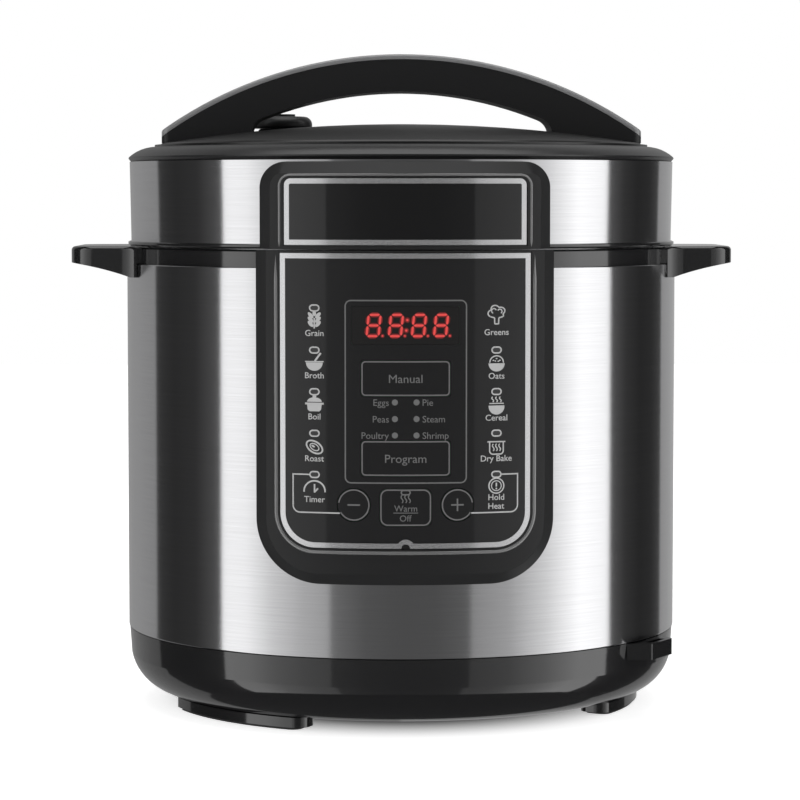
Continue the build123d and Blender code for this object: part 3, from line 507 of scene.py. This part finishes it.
@dataclass
class Print:
    """Thin ink of one colour on an upright cylinder, gathered as flat shapes in millimetres.

    A flat point is (u, z), u being the arc length from the front. It lands at azimuth u / r, so
    x = r sin(u / r) and y = -r cos(u / r).
    """

    name: str
    body: str
    ink: Finish
    radius: float
    thickness: float = 0.05
    lift: float = PRINT_LIFT
    points: list[np.ndarray] = field(default_factory=list)
    triangles: list[np.ndarray] = field(default_factory=list)

    def spread(self, run: np.ndarray) -> np.ndarray:
        """Turn places given by x into arc lengths: u = r asin(x / r)."""
        run = np.array(run, float)
        run[:, 0] = self.radius * np.arcsin(run[:, 0] / self.radius)
        return run

    def add(self, points: np.ndarray, triangles: np.ndarray) -> None:
        """Gather triangles, each turned anticlockwise so that it faces outwards."""
        corners = points[triangles]
        first, second = corners[:, 1] - corners[:, 0], corners[:, 2] - corners[:, 0]
        area = first[:, 0] * second[:, 1] - first[:, 1] * second[:, 0]
        triangles = np.where((area < 0)[:, None], triangles[:, ::-1], triangles)[np.abs(area) > 1e-9]
        self.triangles.append(triangles + sum(len(p) for p in self.points))
        self.points.append(points)

    def line(self, run: np.ndarray, width: float, closed: bool = False) -> None:
        """Draw a line: each point is moved half the width to both sides of the run's mean direction."""
        run = self.spread(run)
        ahead, behind = np.roll(run, -1, 0), np.roll(run, 1, 0)
        if not closed:
            ahead[-1], behind[0] = run[-1], run[0]
        along = ahead - behind
        along /= np.linalg.norm(along, axis=1)[:, None]
        sideways = np.stack([-along[:, 1], along[:, 0]], -1) * width / 2
        points = np.stack([run - sideways, run + sideways], 1).reshape(-1, 2)
        quads = grid_faces(len(run), 2, closed, False)
        self.add(points, np.concatenate([quads[:, :3], quads[:, [0, 2, 3]]]))

    def disc(self, x: float, z: float, across: float, up: float, turn: float = 0.0) -> None:
        """Draw a filled ellipse with the given half sizes, turned anticlockwise in degrees."""
        count = 28
        angle = np.linspace(0, 2 * np.pi, count, endpoint=False)
        ring = turned(np.stack([across * np.cos(angle), up * np.sin(angle)], -1), turn) + (x, z)
        k = np.arange(count)
        self.add(
            self.spread(np.concatenate([[(x, z)], ring])),
            np.stack([np.zeros(count, int), k + 1, (k + 1) % count + 1], -1),
        )

    def shape(self, outline: np.ndarray) -> None:
        """Draw a filled outline that may be hollow-sided."""
        triangles = tessellate_polygon([[Vector((*p, 0)) for p in outline]])
        self.add(self.spread(outline), np.array(triangles))

    def words(self, text: str, x: float, z: float, capital: float, squeeze: float = 1.03,
              side: int = 0, bold: float = 0.006) -> None:
        """Write words.

        Args:
            text: the words.
            x: their middle, or the end that they stand against.
            z: the middle of their capitals.
            capital: height of a capital.
            squeeze: share of the font's own width.
            side: 0 centres them, 1 starts them at x and -1 ends them there.
            bold: how far the strokes are thickened.
        """
        points, triangles = flat_words(text, bold)
        points = points * (capital * squeeze, capital)
        points[:, 0] += self.spread(np.array([[x, 0.0]]))[0, 0] + side * points[:, 0].max()
        points[:, 1] += z - capital / 2
        self.add(points, triangles)

    def lay(self) -> bpy.types.Object:
        """Bend the gathered ink onto the cylinder and fasten it to its body."""
        flat = np.concatenate(self.points)
        radius = self.radius + self.lift
        angle = flat[:, 0] / self.radius
        verts = np.stack([radius * np.sin(angle), -radius * np.cos(angle), flat[:, 1]], -1) * MM
        piece = make_mesh(self.name, verts, np.concatenate(self.triangles), smooth=False)
        wall = piece.modifiers.new("Ink thickness", "SOLIDIFY")
        wall.thickness, wall.offset = self.thickness * MM, -1.0
        piece.data.materials.append(self.ink.build())
        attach(piece, self.body)
        LOG.info("%s rides on %s", self.name, self.body)
        return piece


def draw_ear(ink: Print, x: float, z: float) -> None:
    """Draw an ear of grain: a stalk, three pairs of slanted grains and one on top."""
    ink.line(straight_run((x, z - 3.9), (x, z + 1.0)), 0.7)
    for rise in (-1.8, 0.2, 2.2):
        for side in (-1, 1):
            ink.disc(x + side * 1.7, z + rise, 1.75, 0.85, side * 48)
    ink.disc(x, z + 3.1, 0.85, 1.3)


def draw_bowl(ink: Print, x: float, z: float) -> None:
    """Draw a bowl with a spoon in it."""
    ink.shape(arc_run(x, z - 0.2, 3.9, 180, 360))
    ink.line(straight_run((x - 4.3, z + 0.2), (x + 4.3, z + 0.2)), 0.5)
    ink.line(straight_run((x + 0.2, z + 0.4), (x + 3.0, z + 4.2)), 0.9)


def draw_pot(ink: Print, x: float, z: float) -> None:
    """Draw a pot with its lid, knob and two handles."""
    ink.shape(np.array([(x - 3.5, z + 0.6), (x - 3.1, z - 2.6), (x - 2.2, z - 3.4), (x + 2.2, z - 3.4),
                        (x + 3.1, z - 2.6), (x + 3.5, z + 0.6)]))
    lid_share = 0.62
    ink.shape(arc_run(x, z + 1.0, 3.4, 0, 180) * (1, lid_share) + (0, (1 - lid_share) * (z + 1.0)))
    ink.disc(x, z + 3.6, 0.9, 0.65)
    ink.line(straight_run((x - 4.3, z + 0.2), (x + 4.3, z + 0.2)), 0.9)


def draw_roast(ink: Print, x: float, z: float) -> None:
    """Draw a slanted joint of meat: two ovals, one in the other, and a spot."""
    slant = -32
    for share, width in ((1.0, 0.75), (0.55, 0.5)):
        loop = arc_run(0, 0, share, 0, 345, 30) * (4.1, 2.5)
        ink.line(turned(loop, slant) + (x, z), width, closed=True)
    ink.disc(x - 0.6, z + 0.4, 0.9, 0.45, slant)


def draw_clock(ink: Print, x: float, z: float) -> None:
    """Draw the upper half of a clock with its two hands."""
    ink.line(arc_run(x, z - 2.6, 4.9, -4, 184), 0.75)
    ink.line(straight_run((x, z - 3.2), (x, z + 0.8)), 0.75)
    ink.line(straight_run((x, z - 3.0), (x + 1.6, z - 1.2)), 0.75)


def draw_floret(ink: Print, x: float, z: float) -> None:
    """Draw a floret: a crown of reach 3 + 1.1 |sin(2.2 t + 0.5)|, a stem and two inner curls."""
    turn = np.radians(np.linspace(-35, 215, 60))
    reach = 3.0 + 1.1 * np.abs(np.sin(2.2 * turn + 0.5))
    ink.line(np.stack([x + reach * np.cos(turn), z + 0.9 + reach * np.sin(turn) * 0.85], -1), 0.6)
    for side in (-1, 1):
        ink.line(straight_run((x + side * 2.9, z - 1.0), (x + side * 1.0, z - 1.5)), 0.6)
        ink.line(straight_run((x + side * 1.0, z - 1.5), (x + side * 0.9, z - 4.4)), 0.6)
    ink.line(straight_run((x - 0.9, z - 4.3), (x + 0.9, z - 4.3)), 0.6)
    ink.line(arc_run(x - 1.3, z + 1.7, 1.1, 20, 250), 0.5)
    ink.line(arc_run(x + 1.5, z + 1.5, 1.0, -60, 160), 0.5)


def draw_mound(ink: Print, x: float, z: float) -> None:
    """Draw a bowl heaped with grains."""
    ink.shape(arc_run(x, z + 0.2, 3.8, 180, 360))
    ink.line(arc_run(x, z + 0.5, 3.2, 0, 180), 0.55)
    for dx, dz in ((-1.5, 1.6), (0.0, 2.4), (1.5, 1.6), (-0.6, 1.3), (0.8, 1.2)):
        ink.disc(x + dx, z + dz, 0.42, 0.3)


def draw_dish(ink: Print, x: float, z: float) -> None:
    """Draw a steaming dish."""
    ink.shape(arc_run(x, z - 0.4, 3.7, 172, 368))
    ink.line(straight_run((x - 3.4, z + 1.1), (x + 3.4, z + 1.1)), 0.5)
    for dx in (-1.8, 0.0, 1.8):
        ink.line(wave_run(x + dx, z + 1.7, z + 4.2, 0.45), 0.5)


def draw_pan(ink: Print, x: float, z: float) -> None:
    """Draw an open pan with heat in it."""
    ink.line(np.concatenate([
        straight_run((x - 3.2, z + 2.6), (x - 3.2, z - 1.6)), arc_run(x - 1.6, z - 1.8, 1.6, 190, 265, 8),
        arc_run(x + 1.6, z - 1.8, 1.6, 275, 350, 8), straight_run((x + 3.2, z - 1.6), (x + 3.2, z + 2.6)),
    ]), 0.6)
    ink.line(straight_run((x - 4.2, z + 2.4), (x + 4.2, z + 2.4)), 0.6)
    for dx in (-1.5, 0.0, 1.5):
        ink.line(wave_run(x + dx, z - 1.9, z + 1.4, 0.4), 0.5)


def draw_dial(ink: Print, x: float, z: float) -> None:
    """Draw a pressure dial: two rings, a needle and its pivot."""
    ink.line(arc_run(x, z, 3.5, 0, 350, 36), 0.6, closed=True)
    ink.line(arc_run(x, z, 2.3, 0, 350, 28), 0.45, closed=True)
    ink.line(straight_run((x, z - 0.4), (x, z + 1.4)), 0.7)
    ink.disc(x, z - 1.3, 0.4, 0.4)


class Symbol(Enum):
    """The small pictures beside the cooking programmes, each about 8 mm across."""

    EAR = "ear"
    BOWL = "bowl"
    POT = "pot"
    ROAST = "roast"
    CLOCK = "clock"
    FLORET = "floret"
    MOUND = "mound"
    DISH = "dish"
    PAN = "pan"
    DIAL = "dial"


DRAWERS = {
    Symbol.EAR: draw_ear, Symbol.BOWL: draw_bowl, Symbol.POT: draw_pot, Symbol.ROAST: draw_roast,
    Symbol.CLOCK: draw_clock, Symbol.FLORET: draw_floret, Symbol.MOUND: draw_mound,
    Symbol.DISH: draw_dish, Symbol.PAN: draw_pan, Symbol.DIAL: draw_dial,
}


@dataclass
class FrameBead:
    """The slim rolled edge round the window of a panel frame, which catches the light; its light grey colour
    on the black frame is a painted highlight, added to the real reflection that its round shape picks up.

    A small circle of radius r is carried along three sides of the window on the frame's face: with t
    the angle round the bead and n the level direction away from the outline, a point stands r cos(t)
    along n and f r sin(t) out of the face, f being its flatness, but never further forward than the
    face's middle.
    """

    name: str
    body: str
    half: float  # distance of both upright sides from the middle
    closed_end: float  # height of the side that joins them
    open_end: float  # height at which they stop
    corner: float
    bead: float
    flatness: float = 0.7
    radius: float = 145.2  # of the frame's face
    inset: float = 0.0002  # how far it stays behind the face's foremost line
    sides: int = 12  # faces round the bead

    def outline(self) -> np.ndarray:
        """Return the run of points (x, z) from one open end round to the other."""
        reach = abs(self.open_end - self.closed_end)
        left = arc_run(-self.half + self.corner, self.corner, self.corner, 180, 270, 16)
        right = arc_run(self.half - self.corner, self.corner, self.corner, 270, 360, 16)
        run = np.concatenate([
            straight_run((-self.half, reach), left[0], 12)[:-1], left,
            straight_run(left[-1], right[0], 24)[1:-1], right,
            straight_run(right[-1], (self.half, reach), 12)[1:],
        ])
        run[:, 1] = self.closed_end + math.copysign(1, self.open_end - self.closed_end) * run[:, 1]
        return run

    def build(self) -> None:
        """Sweep the bead along its outline, closed at its ends."""
        run = self.outline()
        along = np.gradient(run, axis=0)
        along /= np.linalg.norm(along, axis=1)[:, None]
        turn = np.linspace(0, 2 * np.pi, self.sides, endpoint=False)
        size = np.full(len(run), self.bead)
        size[[0, -1]] = 1e-3
        flat = run[:, None, :] + (size[:, None] * np.cos(turn))[:, :, None] * np.stack(
            [-along[:, 1], along[:, 0]], -1)[:, None, :]
        out = self.radius + size[:, None] * np.sin(turn) * self.flatness
        x = flat[:, :, 0] * out / self.radius
        y = np.maximum(-np.sqrt(out**2 - x**2), self.inset - self.radius)
        verts = np.stack([x, y, flat[:, :, 1]], -1).reshape(-1, 3) * MM
        piece = make_mesh(self.name, verts, grid_faces(len(run), self.sides, False, True))
        tidy_normals(piece)
        piece.data.materials.append(BEAD_PAINTED_HIGHLIGHT.build())
        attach(piece, self.body)


@dataclass
class ValveSeat:
    """The ring on the lid that the steam valve's knob turns on."""

    x: float = -60.0
    y: float = 45.0
    low: float = 285.5
    high: float = 288.7
    outer: float = 12.6
    inner: float = 5.4
    flange: float = 1.4  # how far its foot reaches past its wall
    steps: int = 72

    def build(self) -> None:
        """Turn a closed profile of radius and height once round the valve's own upright axis."""
        profile = np.array([
            (self.inner, self.low), (self.outer + self.flange, self.low),
            (self.outer + self.flange, self.low + 0.8), (self.outer + 0.5, self.high - 0.6),
            (self.outer - 0.3, self.high), (self.inner, self.high),
        ])
        grid = (len(profile), self.steps)
        turn = np.linspace(0, 2 * np.pi, self.steps, endpoint=False)
        radius, height = profile[:, 0][:, None], profile[:, 1][:, None]
        verts = np.stack([
            self.x + radius * np.cos(turn), self.y + radius * np.sin(turn), np.broadcast_to(height, grid),
        ], -1).reshape(-1, 3) * MM
        piece = make_mesh("valve_seat", verts, grid_faces(*grid, True, True))
        tidy_normals(piece)
        piece.data.materials.append(LID_BLACK.build())
        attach(piece, "lid")


@dataclass
class ControlPanel:
    """Printing of the curved control panel and its keys, and the display's digits, in millimetres."""

    radius: float
    column: float = 42.2  # distance of both outer columns from the middle
    rows: tuple[float, ...] = (202.4, 182.9, 163.6, 144.3, 125.1)  # heights of their lamps
    line: float = 0.62
    bold_line: float = 0.66
    lamp: tuple[float, float, float] = (4.3, 2.7, 1.34)  # width, height and corner of a lamp's ring
    capital: float = 2.9
    link_edge: float = 52.2  # the link lines: their outer edge, inner end, foot and corner
    link_end: float = 30.4
    link_low: float = 107.4
    link_corner: float = 3.2
    menu_frame: tuple[float, ...] = (0.1, 163.8, 56.0, 84.4, 2.6)
    dot_rows: tuple[float, ...] = (159.0, 151.3, 143.7)
    dot_place: float = 5.0
    dot: float = 1.4
    wide_rim: tuple[float, float, float] = (40.3, 15.5, 1.6)  # rim lines: width, height, corner
    off_rim: tuple[float, float, float] = (22.9, 16.3, 3.1)
    off_lamp: tuple[float, float, float] = (4.1, 2.0, 0.99)
    round_rim: float = 7.0
    sign: float = 2.9  # half the length of the minus and plus strokes
    digit_middles: tuple[float, ...] = (-14.8, -4.5, 6.1, 16.3)
    digit_height: float = 194.5
    digit_half: tuple[float, float] = (2.75, 4.9)  # half the width and half the height of a digit
    colon: tuple[tuple[float, float], ...] = ((0.75, 197.0), (0.25, 192.2))
    slant: float = 0.10

    def sheet(self, name: str, body: str, ink: Finish) -> Print:
        """Start a print on the panel's cylinder."""
        return Print(name, body, ink, self.radius / MM)

    def programmes(self) -> None:
        """Print the two outer columns: lamp rings, pictures, words and the link lines."""
        ink = self.sheet("programme_print", "housing", INK_LIGHT)
        # each programme: its word, its picture, and how far both lie below the lamp
        left = (
            ("Grain", Symbol.EAR, 5.6, 11.5), ("Broth", Symbol.BOWL, 5.5, 11.6),
            ("Boil", Symbol.POT, 5.7, 11.4), ("Roast", Symbol.ROAST, 6.4, 11.6),
            ("Timer", Symbol.CLOCK, 5.2, 11.4),
        )
        right = (
            ("Greens", Symbol.FLORET, 3.1, 11.1), ("Oats", Symbol.MOUND, 6.4, 11.9),
            ("Cereal", Symbol.DISH, 6.6, 12.0), ("Dry Bake", Symbol.PAN, 6.4, 11.6),
            ("Hold", Symbol.DIAL, 5.3, 10.5),
        )
        for side, programmes in ((-1, left), (1, right)):
            for row, (word, symbol, picture_drop, word_drop) in zip(self.rows, programmes):
                if symbol is not Symbol.FLORET:
                    ink.line(rounded_run(side * self.column, row, *self.lamp), self.bold_line, closed=True)
                DRAWERS[symbol](ink, side * self.column, row - picture_drop)
                ink.words(word, side * self.column, row - word_drop, self.capital)
            self.link(ink, side)
        ink.words("Heat", self.column, self.rows[-1] - 14.6, self.capital)
        ink.lay()

    def link(self, ink: Print, side: int) -> None:
        """Draw the line from a column's last lamp out, down and in to the round key.

        Args:
            ink: the print that it belongs to.
            side: -1 for the left column and 1 for the right one.
        """
        high, low, corner, edge = self.rows[-1], self.link_low, self.link_corner, side * self.link_edge
        span = (180, 270) if side < 0 else (0, -90)
        foot = arc_run(edge - side * corner, low + corner, corner, *span, 8)
        ink.line(straight_run((side * (self.column + 2.4), high), (edge - side * 0.1, high), 4), self.line)
        ink.line(np.concatenate([
            straight_run((edge, high + 0.35), (edge, low + 3.4)), foot,
            straight_run((edge - side * 3.4, low), (side * self.link_end, low), 14),
        ]), self.line)

    def menu_print(self) -> None:
        """Print the frame round the display and the dots between the keys, with their words."""
        ink = self.sheet("menu_print", "housing", INK_MID)
        ink.line(rounded_run(*self.menu_frame), self.line, closed=True)
        words = (("Eggs", "Pie"), ("Peas", "Steam"), ("Poultry", "Shrimp"))
        for row, pair in zip(self.dot_rows, words):
            for side, word in zip((-1, 1), pair):
                ink.disc(side * self.dot_place, row, self.dot, self.dot)
                ink.words(word, side * (self.dot_place + 2.8), row, 3.2, 1.0, side, 0.0)
        ink.lay()

    def key(self, name: str) -> tuple[Print, float, float]:
        """Start the print of a key.

        Args:
            name: the key's name.

        Returns:
            The print, which rides on the key, and the key's middle across and up.
        """
        low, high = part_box(f"key_{name}")
        ink = self.sheet(f"{name}_key_print", f"{name}_key", INK_MID)
        return ink, (low[0] + high[0]) / 2 / MM, (low[2] + high[2]) / 2 / MM

    def wide_keys(self) -> None:
        """Print the rims and words of the two wide keys."""
        for name, word in (("heat", "Manual"), ("menu", "Program")):
            ink, _, middle = self.key(name)
            ink.line(rounded_run(0.0, middle, *self.wide_rim), self.line, closed=True)
            ink.words(word, 0.0, middle, 4.0, 1.04, 0, 0.0)
            ink.lay()

    def off_key(self) -> None:
        """Print the middle key: its rim, a lamp, steam, and two words with a line between them."""
        ink, _, middle = self.key("off")
        top = middle + 8.1
        ink.line(rounded_run(0.0, middle, *self.off_rim), self.line, closed=True)
        ink.line(rounded_run(0.0, top - 1.1, *self.off_lamp), self.line, closed=True)
        for dx in (-1.7, 0.0, 1.7):
            ink.line(wave_run(dx, top - 5.9, top - 2.3, 0.45), 0.5)
        ink.words("Warm", 0.0, top - 8.4, 3.0, 1.0, 0, 0.0)
        ink.line(straight_run((-5.7, top - 10.6), (5.7, top - 10.6)), 0.35)
        ink.words("Off", 0.0, top - 13.0, 3.0, 1.0, 0, 0.0)
        ink.lay()

    def round_keys(self) -> None:
        """Print the open rims and the signs of the minus and plus keys."""
        for name, span in (("minus", (-150, 172)), ("plus", (330, 8))):
            ink, x, z = self.key(name)
            ink.line(arc_run(x, z, self.round_rim, *span, 60), self.line)
            ink.line(straight_run((x - self.sign, z), (x + self.sign, z), 6), 0.7)
            if name == "plus":
                ink.line(straight_run((x, z - self.sign), (x, z + self.sign), 6), 0.7)
            ink.lay()

    def digits(self, name: str, ink: Finish, thick: float, lift: float) -> None:
        """Light the display: four slanted digits of seven bars, their points and the colon.

        Args:
            name: the piece's name.
            ink: its finish.
            thick: half the width of a bar.
            lift: how much further out than other ink it lies.
        """
        ink = Print(name, "housing", ink, self.radius / MM, lift=PRINT_LIFT + lift)
        across, up = self.digit_half
        gap = 0.25
        bars = (
            ((-across, up), (across, up)), ((-across, 0), (across, 0)), ((-across, -up), (across, -up)),
            ((-across, 0), (-across, up)), ((across, 0), (across, up)),
            ((-across, -up), (-across, 0)), ((across, -up), (across, 0)),
        )
        for middle in self.digit_middles:
            for start, end in bars:
                a, b = np.array(start, float), np.array(end, float)
                along = (b - a) / np.linalg.norm(b - a)
                a, b = a + along * gap, b - along * gap
                side = np.array([-along[1], along[0]]) * thick
                bar = np.array([a, a + along * thick - side, b - along * thick - side, b,
                                b - along * thick + side, a + along * thick + side])
                bar[:, 0] += bar[:, 1] * self.slant + middle
                ink.shape(bar + (0, self.digit_height))
            ink.disc(middle + 4.1, self.digit_height - up + 0.1, thick * 0.8, thick * 0.8)
        for x, z in self.colon:
            ink.disc(x, z, thick * 1.1, thick * 1.1)
        ink.lay()

    def build(self) -> None:
        """Print everything."""
        self.programmes()
        self.menu_print()
        self.wide_keys()
        self.off_key()
        self.round_keys()
        self.digits("display_halo", LED_HALO, 1.15, -0.03)
        self.digits("display_digits", LED_RED, 0.54, 0.0)


# ---------------------------------------------------------------- studio
@dataclass
class Studio:
    """White sweep, a ring of soft boxes and dark gaps around the cooker, and the camera."""

    camera_azimuth: float = -0.85
    camera_distance: float = 1.585
    camera_shift: float = -0.0005  # along X
    camera_height: float = 0.2548
    camera_pitch: float = 3.76
    lens: float = 140.8
    floor_half: float = 3.1
    floor_drop: float = 0.0002  # how far the floor lies below the feet
    floor_glow: float = 0.82
    painted_shadow_gap: tuple[float, float] = (0.072, 0.130)  # distances from the axis over which the painted contact shadow under the cooker fades into the floor's glow
    top_power: float = 26.0
    top_size: float = 2.2
    top_place: tuple[float, float, float] = (0, 0.1, 2.6)
    surround: float = 0.05  # strength of the surround in reflections
    card_radius: float = 3.2
    card_foot: float = -3.0
    card_head: float = 3.6
    card_steps: int = 41
    # each card: name, azimuth of both edges, and its glow at even steps between them
    cards: tuple[tuple[str, float, float, tuple[float, ...]], ...] = (
        ("left_soft_box", -78, -28.5, (1.52, 1.40, 0.92, 0.65, 0.50)),
        ("middle_card", -28.5, 28, (0.22, 0.13, 0.11, 0.115, 0.16)),
        ("right_soft_box", 28, 94.5, (0.37, 0.53, 1.00, 1.70, 1.55)),
        ("right_gap", 94.5, 137, (0.13, 0.05, 0.03, 0.035, 0.07)),
        ("back_right", 137, 180, (0.38, 0.42, 0.46)),
        ("back_left", -180, -121, (0.30, 0.33, 0.36, 0.34)),
        ("left_gap", -121, -78, (0.05, 0.035, 0.045, 0.12)),
    )

    def card(self, name: str, start: float, end: float, glows: tuple[float, ...]) -> None:
        """Hang a curved glowing card: a strip of a cylinder, r fixed, azimuth across, height up.

        Args:
            name: the card's name.
            start: azimuth of one edge, in degrees from the camera's side.
            end: azimuth of the other edge.
            glows: its strength at even steps from start to end.
        """
        steps = self.card_steps
        x, y = around(np.linspace(start, end, steps) + self.camera_azimuth, self.card_radius)
        height = np.repeat([self.card_foot, self.card_head], steps)
        verts = np.stack([np.tile(x, 2), np.tile(y, 2), height], -1)
        card = make_mesh(name, verts, grid_faces(2, steps, False, False))
        level = np.interp(np.linspace(0, 1, steps), np.linspace(0, 1, len(glows)), glows)
        share = card.data.attributes.new("glow", "FLOAT", "POINT")
        share.data.foreach_set("value", np.tile(level, 2).astype(np.float32))
        material = bpy.data.materials.new(name)
        material.use_nodes = True
        tree = material.node_tree
        tree.nodes.clear()
        glow = tree.nodes.new("ShaderNodeEmission")
        read = tree.nodes.new("ShaderNodeAttribute")
        read.attribute_name = "glow"
        out = tree.nodes.new("ShaderNodeOutputMaterial")
        join(tree, (read, "Fac", glow, "Strength"), (glow, "Emission", out, "Surface"))
        card.data.materials.append(material)
        card.visible_camera = False
        card.visible_shadow = False

    def build(self) -> None:
        """Lay the floor, hang the lights and set the camera."""
        side, low = self.floor_half, -self.floor_drop
        corners = np.array([[-side, -side, low], [side, -side, low], [side, side, low], [-side, side, low]])
        floor = make_mesh("floor", corners, np.array([[0, 1, 2, 3]]))
        floor.data.materials.append(self.floor_paper_with_painted_shadow())
        floor.visible_glossy = False
        for row in self.cards:
            self.card(*row)
        top = bpy.data.lights.new("top_box", "AREA")
        top.energy, top.size = self.top_power, self.top_size
        top_object = bpy.data.objects.new("top_box", top)
        top_object.location = self.top_place
        bpy.context.scene.collection.objects.link(top_object)
        self.world()
        self.camera()

    def floor_paper_with_painted_shadow(self) -> bpy.types.Material:
        """Make the floor's finish: matt white paper that glows evenly, with a painted contact shadow under
        the cooker where the glow fades to nothing.
        """
        material, tree, shader = start_material("Floor paper")
        set_sockets(shader, {
            "Base Color": (0.92, 0.92, 0.92, 1), "Roughness": 0.9, "Specular IOR Level": 0.0,
            "Emission Strength": self.floor_glow,
        })
        place = tree.nodes.new("ShaderNodeTexCoord")
        reach = tree.nodes.new("ShaderNodeVectorMath")
        reach.operation = "LENGTH"
        # painted contact shadow: the glow is masked to nothing near the cooker's axis and rises to full
        # between the two distances
        painted_shadow_fade = tree.nodes.new("ShaderNodeMapRange")
        painted_shadow_fade.interpolation_type = "SMOOTHSTEP"
        painted_shadow_fade.inputs["From Min"].default_value, painted_shadow_fade.inputs["From Max"].default_value = self.painted_shadow_gap
        join(
            tree,
            (place, "Object", reach, 0), (reach, "Value", painted_shadow_fade, "Value"),
            (painted_shadow_fade, "Result", shader, "Emission Color"),
        )
        return material

    def world(self) -> None:
        """Set a white surround behind the object and a dim one in its reflections."""
        world = bpy.data.worlds.new("Studio")
        world.use_nodes = True
        tree = world.node_tree
        tree.nodes.clear()
        seen = tree.nodes.new("ShaderNodeBackground")
        set_sockets(seen, {"Color": (1, 1, 1, 1), "Strength": 1.0})
        dim = tree.nodes.new("ShaderNodeBackground")
        set_sockets(dim, {"Color": (1, 1, 1, 1), "Strength": self.surround})
        path = tree.nodes.new("ShaderNodeLightPath")
        mix = tree.nodes.new("ShaderNodeMixShader")
        out = tree.nodes.new("ShaderNodeOutputWorld")
        join(tree, (path, "Is Camera Ray", mix, 0), (mix, "Shader", out, "Surface"))
        # the mixer's two shader inputs share one name, so they are told apart by their places
        join(tree, (dim, "Background", mix, 1), (seen, "Background", mix, 2))
        bpy.context.scene.world = world

    def camera(self) -> None:
        """Place the camera in front, a little above the middle, tipped down by the pitch."""
        data = bpy.data.cameras.new("camera")
        data.sensor_width, data.lens = 36.0, self.lens
        camera = bpy.data.objects.new("camera", data)
        x, y = around(self.camera_azimuth, self.camera_distance)
        camera.location = (float(x) + self.camera_shift, float(y), self.camera_height)
        camera.rotation_euler = (math.radians(90 - self.camera_pitch), 0, math.radians(self.camera_azimuth))
        bpy.context.scene.collection.objects.link(camera)
        bpy.context.scene.camera = camera
        bpy.context.scene.view_settings.view_transform = "Standard"


def main() -> None:
    """Build the cooker's looks piece by piece, then the studio around it."""
    logging.basicConfig(level=logging.INFO, format="%(message)s")
    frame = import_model()
    dress_nodes(frame["nodes"])
    ControlPanel(radius=-float(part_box("panel_plate")[0][1])).build()
    FrameBead("frame_bead", "housing", 60.2, 89.1, 227.0, 18.2, 0.8).build()
    FrameBead("lid_frame_bead", "lid", 58.5, 263.9, 230.4, 5.0, 0.55).build()
    ValveSeat().build()
    Studio().build()


if __name__ == "__main__":
    main()
